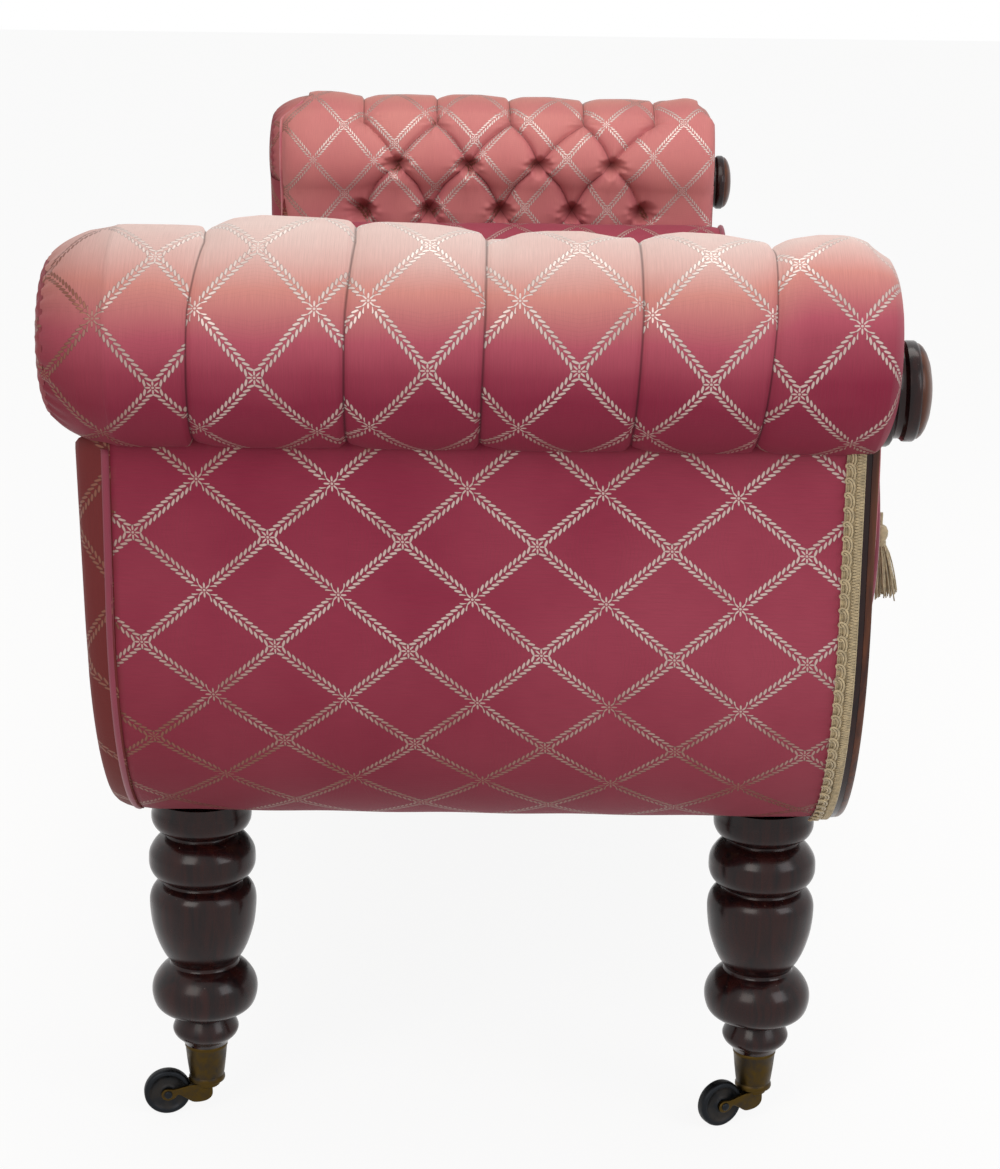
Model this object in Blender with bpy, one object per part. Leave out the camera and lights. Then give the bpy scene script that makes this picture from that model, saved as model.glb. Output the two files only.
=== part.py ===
"""Scroll-end settee: a backless seat between two deep-buttoned scroll arms, with loose
bolsters, mahogany facings and front rail, turned legs and brass castors.

Metres, +Z up. +X runs along the seat, the front faces -Y, and the origin is on the floor
under the middle of the seat. "Inward" is measured from a roll's axis towards the middle of
the seat, and "reach" from the middle plane towards the front or the rear.
"""

import bpy
import bmesh
import math
from mathutils import Matrix, Vector

MM = 0.001

# Clearance between pieces that touch, and how far a cutter runs past what it cuts
GAP = 0.3 * MM
OVERRUN = 20 * MM

# Driving sizes of the whole settee
ROLL_AXIS_SPAN = 1782 * MM
ROLL_AXIS_HEIGHT = 711 * MM
ROLL_RADIUS = 85 * MM
BODY_BOTTOM = 294 * MM
BODY_FRONT_REACH = 289 * MM
BODY_REAR_REACH = 279.5 * MM
ROLL_FRONT_OVERHANG = 23 * MM
ROLL_REAR_OVERHANG = 60.5 * MM
SEAT_RAIL_HEIGHT = 78 * MM
SEAT_STUFFED_HEIGHT = 77 * MM

# Roll ends: length along the roll and drop of the rounding
ROLL_FRONT_ROUND = 45 * MM
ROLL_REAR_ROUND = 70 * MM
ROLL_FRONT_DROP = 40 * MM
ROLL_REAR_DROP = 50 * MM
PAD_END_ROUND = 20 * MM
PAD_END_DROP = 12 * MM

# Inside face of the arm: it leaves the roll at an angle and sweeps down to the seat
ROLL_LEAVE_ANGLE = math.radians(-30)
ARM_SWEEP_START = 45 * MM
ARM_SWEEP_END = 60 * MM
ARM_FOOT_INWARD = 85 * MM
ARM_FOOT_SINK = 8 * MM
ARM_FOOT_LEAN = math.radians(14)

# Deep buttoning: rows are counted from the top of the roll down to the seat
BUTTON_PITCH = 106.5 * MM
BUTTON_ROW_PITCH = 72 * MM
BUTTON_ROW_COUNT = 5
FIRST_ROW_BUTTON_COUNT = 5
BUTTON_CENTRE_REACH = 3 * MM
FIRST_ROW_ANGLE = math.radians(42)
CREASE_DEPTH = 15 * MM
ROLL_PLEAT_DEPTH = 7 * MM
BUTTON_DEPTH = 9 * MM
BUTTON_SPREAD = 15 * MM
STEPS_PER_PITCH = 6
STEPS_PER_ROW = 3
ROLL_STEPS = 10
FOOT_STEPS = 2
PAD_END_SHARES = (0.4, 0.74, 0.92, 1.0)
ROLL_END_SHARES = (0.35, 0.65, 0.87, 1.0)
ROLL_ARC_STEPS = 4
CREASE_POWER = 3

# Outside end panel: upright under the roll, then curved under to the bottom edge
PANEL_OUTSET = 28 * MM
PANEL_THICKNESS = 8 * MM
PANEL_CURVE_RISE = 206 * MM
PANEL_CURVE_DROP = 214 * MM
PANEL_CURVE_DEPTH = 170 * MM
PANEL_TUCK = 9 * MM
PANEL_CURVE_STEPS = 9

# Wooden frame inside the arms and under the seat
SCROLL_RAIL_WIDTH = 50 * MM
SCROLL_RAIL_HEIGHT = 70 * MM
SCROLL_RAIL_SINK = 46 * MM
FRAME_BOARD = 20 * MM
FRAME_FOOT_INWARD = 210 * MM
SEAT_RAIL_THICKNESS = 26 * MM
END_RAIL_INWARD = 104 * MM
END_RAIL_THICKNESS = 26 * MM
CORNER_BLOCK = 74 * MM

# Show-wood facing: a board with a scroll at the top that sweeps down to the front rail
FACING_THICKNESS = 13 * MM
FACING_SCROLL_RADIUS = 50 * MM
FACING_SCROLL_DROP = 35 * MM
FACING_LEAVE_ANGLE = math.radians(-35)
FACING_NECK_PULL = 75 * MM
FACING_FOOT_PULL = 160 * MM
FACING_FOOT_LIFT = 13 * MM
FACING_SCROLL_STEPS = 16
FACING_SWEEP_STEPS = 10

# Turned boss on the scroll: radius and depth of each part, from the facing outwards
ROSETTE_RADIUS = 43 * MM
ROSETTE_DEPTH = 39.7 * MM
ROSETTE_SIDES = 20
ROSETTE_SHARES = (
    (1.0, 0.0), (1.0, 0.2), (0.93, 0.28), (0.84, 0.33), (0.84, 0.44), (0.89, 0.48),
    (0.89, 0.66), (0.84, 0.76), (0.72, 0.87), (0.46, 0.96), (0.0, 1.0),
)

# Trim: braid along the facing, piping along the rear edge of the end panel
BRAID_WIDTH = 13 * MM
BRAID_THICKNESS = 2.5 * MM
BRAID_INSET = 0.6 * MM
PIPING_RADIUS = 3.4 * MM
PIPING_PROUD = 0.5 * MM
PIPING_SIDES = 8

# Stuffed rear side, in one piece from arm to arm
REAR_PANEL_THICKNESS = 34 * MM
REAR_PANEL_FOOT_THICKNESS = 12 * MM
REAR_PANEL_EDGE_INSET = 24 * MM
REAR_PANEL_TOP_SINK = 5 * MM
REAR_PANEL_ROLL_CLEARANCE = 2.5 * MM
REAR_PANEL_ARM_SETBACK = 3 * MM
REAR_PANEL_RABBET = 7.6 * MM
REAR_PANEL_BULGE_SHARES = ((0.02, 0.0), (0.08, 0.45), (0.38, 0.82), (1.0, 1.0))

# Seat, from the webbing up
WEBBING_THICKNESS = 2.5 * MM
WEBBING_STRAP = 50 * MM
LONG_STRAP_COUNT = 4
CROSS_STRAP_COUNT = 7
HESSIAN_THICKNESS = 1.2 * MM
SEAT_COVER_THICKNESS = 4 * MM
SEAT_EDGE_RADIUS = 26 * MM
SEAT_CROWN = 9 * MM
SEAT_FRONT_SETBACK = 2 * MM
SEAT_SHOULDER = 24 * MM
SEAT_STEPS = 8
SEAT_EDGE_STEPS = 3
SEAT_CROSS_SHARES = (0.2, 0.5, 0.8)
BASE_CLOTH_THICKNESS = 1.5 * MM
BASE_CLOTH_MARGIN = 8 * MM

# Bolsters and their tassels
BOLSTER_RADIUS = 90 * MM
BOLSTER_FRONT_OVERHANG = 29 * MM
BOLSTER_REAR_OVERHANG = 20.5 * MM
BOLSTER_SIDES = 22
BOLSTER_END_SHARES = ((0.0, 0.93), (0.012, 1.0), (0.03, 0.965), (0.12, 0.985), (0.5, 1.0))
BOLSTER_DISH = 5 * MM
BOLSTER_BUTTON_RADIUS = 12 * MM
BOLSTER_BUTTON_PROUD = 12.7 * MM
TASSEL_RADIUS = 13 * MM
TASSEL_LENGTH = 73 * MM
TASSEL_CORD_RADIUS = 2 * MM
TASSEL_CORD_RISE = 6 * MM
TASSEL_SIDES = 8
TASSEL_SHARES = (
    (0.42, 0.74), (0.6, 0.68), (0.6, 0.62), (0.44, 0.575), (0.6, 0.5), (0.8, 0.3), (1.0, 0.0),
)

# Legs: largest radius, and each point's share of it and of the turned height
LEG_INWARD = 130 * MM
LEG_FRONT_SETBACK = 46.5 * MM
LEG_REAR_SETBACK = 38 * MM
LEG_RADIUS = 46 * MM
LEG_FOOT_HEIGHT = 65 * MM
LEG_SIDES = 16
LEG_DOWEL_RADIUS = 12 * MM
LEG_DOWEL_LENGTH = 48 * MM
LEG_SHARES = (
    (0.41, 0.0), (0.45, 0.012), (0.61, 0.055), (0.6, 0.08), (0.51, 0.118), (0.62, 0.14),
    (0.9, 0.165), (1.0, 0.225), (0.93, 0.285), (0.66, 0.335), (0.65, 0.352), (0.8, 0.412),
    (0.94, 0.485), (1.0, 0.575), (0.95, 0.635), (0.76, 0.665), (0.76, 0.685), (0.93, 0.716),
    (1.0, 0.765), (0.93, 0.818), (0.67, 0.855), (0.67, 0.872), (0.88, 0.9), (0.93, 0.94),
    (0.9, 1.0),
)

# Castors: brass cup on the leg's spigot, forked horn, wheel on its axle
CUP_TOP_RADIUS = 18.6 * MM
CUP_FOOT_RADIUS = 14.6 * MM
CUP_BOTTOM = 29 * MM
CUP_WALL = 1.6 * MM
CUP_FLOOR = 3 * MM
CUP_LIP = 1.2 * MM
CUP_SIDES = 14
SPIGOT_CLEARANCE = 1 * MM
PIN_RADIUS = 3.6 * MM
PIN_LENGTH = 16 * MM
FLANGE_RADIUS = 11.5 * MM
FLANGE_THICKNESS = 4.5 * MM
WHEEL_RADIUS = 20.5 * MM
WHEEL_WIDTH = 11 * MM
WHEEL_TREAD_WIDTH = 6 * MM
WHEEL_SHOULDER = 1.4 * MM
WHEEL_DISH = 1.8 * MM
WHEEL_RIM = 4 * MM
WHEEL_HUB_RADIUS = 6.5 * MM
WHEEL_SIDES = 18
CASTOR_TRAIL = 35 * MM
FORK_ARM = 3.2 * MM
FORK_SIDE_CLEARANCE = 0.8 * MM
FORK_WHEEL_CLEARANCE = 1.2 * MM
FORK_BOSS_RADIUS = 6 * MM
FORK_HEEL_DEPTH = 17.5 * MM
FORK_HEEL_FRONT = 4 * MM
FORK_HEEL_BACK = 12.5 * MM
FORK_BOSS_STEPS = 8
AXLE_RADIUS = 2.2 * MM
AXLE_HEAD_RADIUS = 3.6 * MM
AXLE_HEAD = 1.1 * MM
AXLE_SIDES = 12

# Swivel of each castor at rest, turned from trailing straight to the rear
CASTOR_SWIVELS = {
    "rear_left": math.radians(12),
    "front_left": math.radians(29),
    "rear_right": math.radians(-24),
    "front_right": math.radians(-41),
}

# Roundness of arcs and what counts as a sharp edge
ARC_STEPS = 6
SHARP_ANGLE = math.radians(40)

# Levels and reaches that several pieces share
SEAT_RAIL_TOP = BODY_BOTTOM + SEAT_RAIL_HEIGHT
SEAT_HEIGHT = SEAT_RAIL_TOP + SEAT_STUFFED_HEIGHT
FACING_FRONT_REACH = BODY_FRONT_REACH + FACING_THICKNESS
ROLL_FRONT_REACH = BODY_FRONT_REACH + ROLL_FRONT_OVERHANG
ROLL_REAR_REACH = BODY_REAR_REACH + ROLL_REAR_OVERHANG
BOLSTER_FRONT_REACH = BODY_FRONT_REACH + BOLSTER_FRONT_OVERHANG
BOLSTER_REAR_REACH = BODY_REAR_REACH + BOLSTER_REAR_OVERHANG
SCROLL_RAIL_BOTTOM = ROLL_AXIS_HEIGHT - SCROLL_RAIL_SINK
SCROLL_RAIL_TOP = SCROLL_RAIL_BOTTOM + SCROLL_RAIL_HEIGHT
CORE_HALF = SCROLL_RAIL_WIDTH / 2
PAD_BACK = CORE_HALF + GAP
PAD_BOTTOM = SEAT_RAIL_TOP + GAP
SEAT_START = ARM_FOOT_INWARD + GAP
FACING_SCROLL_HEIGHT = ROLL_AXIS_HEIGHT - FACING_SCROLL_DROP
HESSIAN_BOTTOM = SEAT_RAIL_TOP + GAP + WEBBING_THICKNESS + GAP
STUFFING_BOTTOM = HESSIAN_BOTTOM + HESSIAN_THICKNESS + GAP
SIDES = {"left": -1, "right": 1}


def along(side, inward):
    """X of a place this far inward from one end's roll axis."""
    return side * (ROLL_AXIS_SPAN / 2 - inward)


def clear_scene():
    for item in list(bpy.data.objects):
        bpy.data.objects.remove(item, do_unlink=True)


def finish(name, colour, roughness, metallic=0.0):
    made = bpy.data.materials.new(name)
    made.use_nodes = True
    shader = made.node_tree.nodes["Principled BSDF"]
    shader.inputs["Base Color"].default_value = (*colour, 1.0)
    shader.inputs["Roughness"].default_value = roughness
    shader.inputs["Metallic"].default_value = metallic
    made.diffuse_color = (*colour, 1.0)
    return made


def add_object(name, bm, material, location=(0, 0, 0), turn=0.0, parent=None, smooth=True):
    """Makes a named object of a closed mesh, with its faces pointing out."""
    bmesh.ops.recalc_face_normals(bm, faces=bm.faces)
    mesh = bpy.data.meshes.new(name)
    bm.to_mesh(mesh)
    bm.free()
    if smooth:
        mesh.shade_smooth()
        mesh.set_sharp_from_angle(angle=SHARP_ANGLE)
    mesh.materials.append(material)
    return place(name, mesh, location, turn, parent)


def place(name, mesh, location=(0, 0, 0), turn=0.0, parent=None):
    made = bpy.data.objects.new(name, mesh)
    made.location = location
    made.rotation_euler = (0, 0, turn)
    made.parent = parent
    bpy.context.scene.collection.objects.link(made)
    return made


def cut(target, bm, label):
    """Takes a closed mesh out of a piece, with a hidden cutter and a Boolean."""
    bmesh.ops.recalc_face_normals(bm, faces=bm.faces)
    mesh = bpy.data.meshes.new(label)
    bm.to_mesh(mesh)
    bm.free()
    cutter = place(label, mesh)
    cutter.hide_render = True
    cutter.display_type = "WIRE"
    modifier = target.modifiers.new(label, "BOOLEAN")
    modifier.operation = "DIFFERENCE"
    modifier.solver = "EXACT"
    modifier.object = cutter
    return cutter


def join(target, bm, label):
    """Adds a closed mesh to a piece, as one body."""
    cut(target, bm, label)
    target.modifiers[label].operation = "UNION"


def skin(bm, rings, closed=True):
    """Quads between rings of vertices, each ring closed or open."""
    for lower, upper in zip(rings, rings[1:]):
        count = len(lower)
        for i in range(count if closed else count - 1):
            k = (i + 1) % count
            corners = []
            for corner in (lower[i], lower[k], upper[k], upper[i]):
                if corner not in corners:
                    corners.append(corner)
            if len(corners) > 2:
                bm.faces.new(corners)


def prism(outline, near, far):
    """A solid with an outline in X and Z, from one Y to another."""
    bm = bmesh.new()
    rings = [[bm.verts.new((x, y, z)) for x, z in outline] for y in (near, far)]
    skin(bm, rings)
    for ring in rings:
        bm.faces.new(ring)
    return bm


def slab(outline, low, high):
    """A solid with an outline in X and Y, from one Z to another."""
    bm = bmesh.new()
    rings = [[bm.verts.new((x, y, z)) for x, y in outline] for z in (low, high)]
    skin(bm, rings)
    for ring in rings:
        bm.faces.new(ring)
    return bm


def rectangle(x0, x1, y0, y1):
    return [(x0, y0), (x1, y0), (x1, y1), (x0, y1)]


def turned(profile, sides, ring=False, first_angle=0.0):
    """A turning about Z. A profile runs from end to end, or round a ring's section."""
    bm = bmesh.new()
    rings = []
    for radius, height in profile:
        if radius == 0:
            rings.append([bm.verts.new((0, 0, height))] * sides)
            continue
        angles = [first_angle + 2 * math.pi * i / sides for i in range(sides)]
        rings.append(
            [bm.verts.new((radius * math.cos(a), radius * math.sin(a), height)) for a in angles]
        )
    skin(bm, rings + rings[:1] if ring else rings)
    if not ring:
        for end, (radius, _) in ((rings[0], profile[0]), (rings[-1], profile[-1])):
            if radius > 0:
                bm.faces.new(end)
    return bm


def bezier(start, pull_start, pull_end, end, share):
    left = 1 - share
    weights = (left**3, 3 * left**2 * share, 3 * left * share**2, share**3)
    points = (start, pull_start, pull_end, end)
    return tuple(sum(w * p[k] for w, p in zip(weights, points)) for k in (0, 1))


def arc(centre, radius, first, last, steps):
    """Points of an arc, both ends among them."""
    points = []
    for i in range(steps + 1):
        angle = first + (last - first) * i / steps
        points.append(
            (centre[0] + radius * math.cos(angle), centre[1] + radius * math.sin(angle))
        )
    return points


def panel_curve(inset=0.0):
    """The end panel's outside line as (inward, height), from its bottom edge to its upright."""
    curve_top = BODY_BOTTOM + PANEL_CURVE_RISE
    last = math.asin(min(1.0, PANEL_CURVE_RISE / PANEL_CURVE_DROP))
    points = []
    for i in range(PANEL_CURVE_STEPS + 1):
        angle = last * (1 - i / PANEL_CURVE_STEPS)
        inward = PANEL_CURVE_DEPTH * (1 - math.cos(angle)) - PANEL_OUTSET
        height = curve_top - PANEL_CURVE_DROP * math.sin(angle)
        slope = Vector(
            (math.cos(angle) / PANEL_CURVE_DEPTH, math.sin(angle) / PANEL_CURVE_DROP)
        ).normalized()
        points.append((inward + inset * slope.x, height + inset * slope.y))
    return points


def roll_underside(inward, clearance=0.0):
    """Height of the roll's lower surface at a place near its axis."""
    radius = ROLL_RADIUS + clearance
    return ROLL_AXIS_HEIGHT - math.sqrt(radius**2 - inward**2)


class ArmLine:
    """The outer line of an arm's stuffing: round the roll, then down the inside face.

    Lengths along it are counted from the first row of buttons, which is on the roll.
    """

    def __init__(self):
        leave = (
            ROLL_RADIUS * math.cos(ROLL_LEAVE_ANGLE),
            ROLL_AXIS_HEIGHT + ROLL_RADIUS * math.sin(ROLL_LEAVE_ANGLE),
        )
        foot = (ARM_FOOT_INWARD, SEAT_HEIGHT - ARM_FOOT_SINK)
        pull_start = (
            leave[0] + ARM_SWEEP_START * math.sin(ROLL_LEAVE_ANGLE),
            leave[1] - ARM_SWEEP_START * math.cos(ROLL_LEAVE_ANGLE),
        )
        pull_end = (
            foot[0] - ARM_SWEEP_END * math.sin(ARM_FOOT_LEAN),
            foot[1] + ARM_SWEEP_END * math.cos(ARM_FOOT_LEAN),
        )
        samples = ARC_STEPS**2
        self.sweep = [
            bezier(leave, pull_start, pull_end, foot, i / samples) for i in range(samples + 1)
        ]
        self.sweep.append((foot[0], PAD_BOTTOM))
        self.on_roll = ROLL_RADIUS * (FIRST_ROW_ANGLE - ROLL_LEAVE_ANGLE)
        pieces = zip(self.sweep, self.sweep[1:])
        self.length = self.on_roll + sum(math.dist(a, b) for a, b in pieces)
        self.start_angle = 1.5 * math.pi - math.asin(PANEL_OUTSET / ROLL_RADIUS)

    def point(self, length):
        """(inward, height) and the outward normal at a length along the line."""
        if length <= self.on_roll:
            angle = FIRST_ROW_ANGLE - length / ROLL_RADIUS
            normal = Vector((math.cos(angle), math.sin(angle)))
            return Vector((0, ROLL_AXIS_HEIGHT)) + ROLL_RADIUS * normal, normal
        left = length - self.on_roll
        for a, b in zip(self.sweep, self.sweep[1:]):
            step = math.dist(a, b)
            if left <= step or b is self.sweep[-1]:
                share = min(1.0, left / step)
                way = (Vector(b) - Vector(a)) / step
                return Vector(a).lerp(Vector(b), share), Vector((-way.y, way.x))
            left -= step
        raise ValueError("the arm line has no sweep")

    def lengths(self):
        """Where the mesh has its rows, from under the roll to the bottom of the stuffing."""
        first = -ROLL_RADIUS * (self.start_angle - FIRST_ROW_ANGLE)
        rows = [first * (1 - i / ROLL_STEPS) for i in range(ROLL_STEPS)]
        buttoned = (BUTTON_ROW_COUNT - 1) * STEPS_PER_ROW
        rows += [BUTTON_ROW_PITCH * i / STEPS_PER_ROW for i in range(buttoned + 1)]
        last = rows[-1]
        rows += [last + (self.length - last) * (i + 1) / FOOT_STEPS for i in range(FOOT_STEPS)]
        return rows


def tuft_depth(across, down):
    """How far the cover is drawn in, with both places counted in button pitches."""
    widest = (FIRST_ROW_BUTTON_COUNT - 1) / 2
    row_limit = BUTTON_ROW_COUNT - 1
    row = min(max(down, 0.0), row_limit)
    past = abs(down - row)
    rising = abs(across + row / 2 - round(across + row / 2))
    falling = abs(across - row / 2 - round(across - row / 2))
    nearest = min(rising, falling)
    depth = CREASE_DEPTH
    if down < 0:
        depth = max(ROLL_PLEAT_DEPTH, CREASE_DEPTH + (ROLL_PLEAT_DEPTH - CREASE_DEPTH) * past)
    drawn = depth * (1 - 2 * nearest) ** CREASE_POWER if abs(across) <= widest else 0.0
    for button_row in range(BUTTON_ROW_COUNT):
        reach = widest - (button_row % 2) / 2
        column = min(max(round(across + reach) - reach, -reach), reach)
        away = math.hypot(
            (across - column) * BUTTON_PITCH, (down - button_row) * BUTTON_ROW_PITCH
        )
        drawn = max(drawn, (CREASE_DEPTH + BUTTON_DEPTH) * math.exp(-((away / BUTTON_SPREAD) ** 2)))
    return drawn


def rounding(share, drop):
    return drop * (1 - math.sqrt(max(0.0, 1 - min(1.0, max(0.0, share)) ** 2)))


def arm_columns():
    """(pitches across, share of the way from the outer button to an end, which end)."""
    widest = (FIRST_ROW_BUTTON_COUNT - 1) / 2
    steps = round(2 * widest * STEPS_PER_PITCH)
    middle = [(-widest + i / STEPS_PER_PITCH, 0.0, 0) for i in range(steps + 1)]
    rear = [(-widest, share, -1) for share in reversed(PAD_END_SHARES)]
    front = [(widest, share, 1) for share in PAD_END_SHARES]
    return rear + middle + front


def arm_upholstery(name, side, fabric):
    """Roll and inside face in one stuffed, buttoned cover, cut to fit the frame and facing."""
    line = ArmLine()
    lengths = line.lengths()
    wrap = max(i for i, length in enumerate(lengths) if length < line.on_roll)
    roll_ends = {
        1: (ROLL_FRONT_REACH, ROLL_FRONT_ROUND, ROLL_FRONT_DROP),
        -1: (ROLL_REAR_REACH, ROLL_REAR_ROUND, ROLL_REAR_DROP),
    }
    pad_ends = {1: BODY_FRONT_REACH - GAP, -1: BODY_REAR_REACH}
    axis = Vector((0, ROLL_AXIS_HEIGHT))
    bm = bmesh.new()

    def add_spot(spot, reach):
        return bm.verts.new((along(side, spot.x), -reach, spot.y))

    def roll_radius(reach, end):
        """The roll's radius, which is rounded towards its ends."""
        if not end:
            return ROLL_RADIUS
        limit, length, drop = roll_ends[end]
        return ROLL_RADIUS - rounding(1 - (limit - end * reach) / length, drop)

    def roll_spot(angle, reach, end, drawn=0.0):
        normal = Vector((math.cos(angle), math.sin(angle)))
        return add_spot(axis + (roll_radius(reach, end) - drawn) * normal, reach)

    roll_angles = [FIRST_ROW_ANGLE - length / ROLL_RADIUS for length in lengths[: wrap + 1]]
    back_angle = -math.acos(PAD_BACK / ROLL_RADIUS)
    under_angle = -math.pi / 2
    spread = back_angle - roll_angles[-1]
    arc_angles = [
        roll_angles[-1] + spread * i / ROLL_ARC_STEPS for i in range(1, ROLL_ARC_STEPS)
    ]

    # Roll and inside face together, as far as the inside face reaches
    rings = []
    for across, share, end in arm_columns():
        reach = BUTTON_CENTRE_REACH + across * BUTTON_PITCH
        pad_drop = 0.0
        if end:
            reach += (end * pad_ends[end] - reach) * share
            pad_drop = rounding(1 - (pad_ends[end] - end * reach) / PAD_END_ROUND, PAD_END_DROP)
        ring = []
        for i, length in enumerate(lengths):
            drawn = tuft_depth(across + end * share, length / BUTTON_ROW_PITCH)
            if i <= wrap:
                ring.append(roll_spot(roll_angles[i], reach, end, drawn))
                continue
            spot, normal = line.point(length)
            clear = (spot - axis).length - ROLL_RADIUS
            ring.append(add_spot(spot - normal * (drawn + min(pad_drop, clear / 2)), reach))
        ring.append(add_spot(Vector((PAD_BACK, PAD_BOTTOM)), reach))
        ring.append(roll_spot(-math.acos(PAD_BACK / roll_radius(reach, end)), reach, end))
        ring.append(roll_spot(under_angle, reach, end))
        rings.append(ring)
    skin(bm, rings)

    # The roll alone, beyond the inside face
    for end, ring in ((-1, rings[0]), (1, rings[-1])):
        reach = end * pad_ends[end]
        arc_verts = [roll_spot(angle, reach, end) for angle in arc_angles]
        bm.faces.new(ring[wrap:-1] + arc_verts[::-1])
        outer = [ring[: wrap + 1] + arc_verts + ring[-2:]]
        angles = roll_angles + arc_angles + [back_angle, under_angle]
        for share in ROLL_END_SHARES:
            at = reach + (end * roll_ends[end][0] - reach) * share
            outer.append([roll_spot(angle, at, end) for angle in angles])
        skin(bm, outer)
        bm.faces.new(outer[-1])
    made = add_object(name, bm, fabric)

    core = [
        (-PANEL_OUTSET - GAP, roll_underside(0.0) - OVERRUN),
        (CORE_HALF + 2 * GAP, roll_underside(0.0) - OVERRUN),
        (CORE_HALF + 2 * GAP, SCROLL_RAIL_TOP + GAP),
        (-CORE_HALF - GAP, SCROLL_RAIL_TOP + GAP),
        (-CORE_HALF - GAP, SCROLL_RAIL_BOTTOM),
        (-PANEL_OUTSET - GAP, SCROLL_RAIL_BOTTOM),
    ]
    outline = [(along(side, inward), height) for inward, height in core]
    cut(made, prism(outline, -BODY_FRONT_REACH, BODY_REAR_REACH + GAP), f"{name}_core_cutter")
    recess = facing_outline(side, GAP)
    cut(
        made,
        prism(recess, -ROLL_FRONT_REACH - OVERRUN, -BODY_FRONT_REACH + GAP / 2),
        f"{name}_facing_cutter",
    )


def facing_outline(side, grow=0.0):
    """Outline of the show-wood facing: foot, outer line, scroll and inside sweep."""
    radius = FACING_SCROLL_RADIUS + grow
    outer = panel_curve(-grow)
    meet = math.pi + math.asin(math.sqrt(1 - ((PANEL_OUTSET + grow) / radius) ** 2))
    scroll = arc((0.0, FACING_SCROLL_HEIGHT), radius, meet, FACING_LEAVE_ANGLE, FACING_SCROLL_STEPS)
    leave = scroll[-1]
    foot = (FRAME_FOOT_INWARD + grow, SEAT_RAIL_TOP + grow)
    pull_start = (
        leave[0] + FACING_NECK_PULL * math.sin(FACING_LEAVE_ANGLE),
        leave[1] - FACING_NECK_PULL * math.cos(FACING_LEAVE_ANGLE),
    )
    pull_end = (foot[0] - FACING_FOOT_PULL, foot[1] + FACING_FOOT_LIFT)
    sweep = [
        bezier(leave, pull_start, pull_end, foot, i / FACING_SWEEP_STEPS)
        for i in range(1, FACING_SWEEP_STEPS + 1)
    ]
    points = outer + scroll + sweep + [(foot[0], BODY_BOTTOM - grow)]
    return [(along(side, inward), height) for inward, height in points]


def rosette(name, side, wood):
    profile = [(ROSETTE_RADIUS * r, ROSETTE_DEPTH * d) for r, d in ROSETTE_SHARES]
    bm = turned(profile, ROSETTE_SIDES)
    bmesh.ops.transform(bm, matrix=Matrix.Rotation(math.pi / 2, 4, "X"), verts=bm.verts)
    spot = (along(side, 0.0), -FACING_FRONT_REACH - GAP, FACING_SCROLL_HEIGHT)
    add_object(name, bm, wood, spot)


def arm_frame(name, side, near, far, wood):
    """An upright board in the arm with a foot on which the leg's corner block is glued."""
    behind_panel = panel_curve(PANEL_THICKNESS + GAP)
    low = behind_panel[0]
    top = SCROLL_RAIL_BOTTOM - GAP
    points = [(low[0] + GAP, BODY_BOTTOM)] + behind_panel
    points += [(behind_panel[-1][0], top), (CORE_HALF - GAP, top)]
    points += [(CORE_HALF - GAP, SEAT_RAIL_TOP), (FRAME_FOOT_INWARD, SEAT_RAIL_TOP)]
    points += [(FRAME_FOOT_INWARD, BODY_BOTTOM)]
    outline = [(along(side, inward), height) for inward, height in points]
    add_object(name, prism(outline, near, far), wood)


def end_panel(name, side, fabric):
    top = roll_underside(PANEL_OUTSET) + PANEL_TUCK
    outer = panel_curve()
    inner = panel_curve(PANEL_THICKNESS)
    points = outer + [(outer[-1][0], top), (inner[-1][0], top)] + inner[::-1]
    outline = [(along(side, inward), height) for inward, height in points]
    add_object(name, prism(outline, -BODY_FRONT_REACH + GAP, BODY_REAR_REACH), fabric)


def braid(name, side, cord):
    """Gimp along the front edge of the end panel, standing on the panel's face."""
    inner = panel_curve(-GAP)
    outer = panel_curve(-GAP - BRAID_THICKNESS)
    top = roll_underside(inner[-1][0], GAP) - GAP
    points = outer + [(outer[-1][0], top), (inner[-1][0], top)] + inner[::-1]
    outline = [(along(side, inward), height) for inward, height in points]
    front = -BODY_FRONT_REACH + BRAID_INSET
    add_object(name, prism(outline, front, front + BRAID_WIDTH), cord)


def piping(name, side, fabric):
    """Covered cord in the seam at the rear edge of the end panel."""
    line = panel_curve(PIPING_RADIUS - PIPING_PROUD)
    top = roll_underside(line[-1][0] + PIPING_RADIUS, GAP) - GAP
    line.append((line[-1][0], top))
    reach = BODY_REAR_REACH + GAP + GAP + PIPING_RADIUS
    bm = bmesh.new()
    rings = []
    for i, (inward, height) in enumerate(line):
        before = Vector(line[max(i - 1, 0)])
        after = Vector(line[min(i + 1, len(line) - 1)])
        way = (after - before).normalized()
        if i == 0 or i == len(line) - 1:
            way = Vector((0, 1))
        ring = []
        for k in range(PIPING_SIDES):
            angle = 2 * math.pi * k / PIPING_SIDES
            out = PIPING_RADIUS * math.cos(angle)
            spot = Vector((inward, height)) + out * Vector((-way.y, way.x))
            y = reach + PIPING_RADIUS * math.sin(angle)
            ring.append(bm.verts.new((along(side, spot.x), y, spot.y)))
        rings.append(ring)
    skin(bm, rings)
    bm.faces.new(rings[0])
    bm.faces.new(rings[-1])
    add_object(name, bm, fabric)


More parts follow.
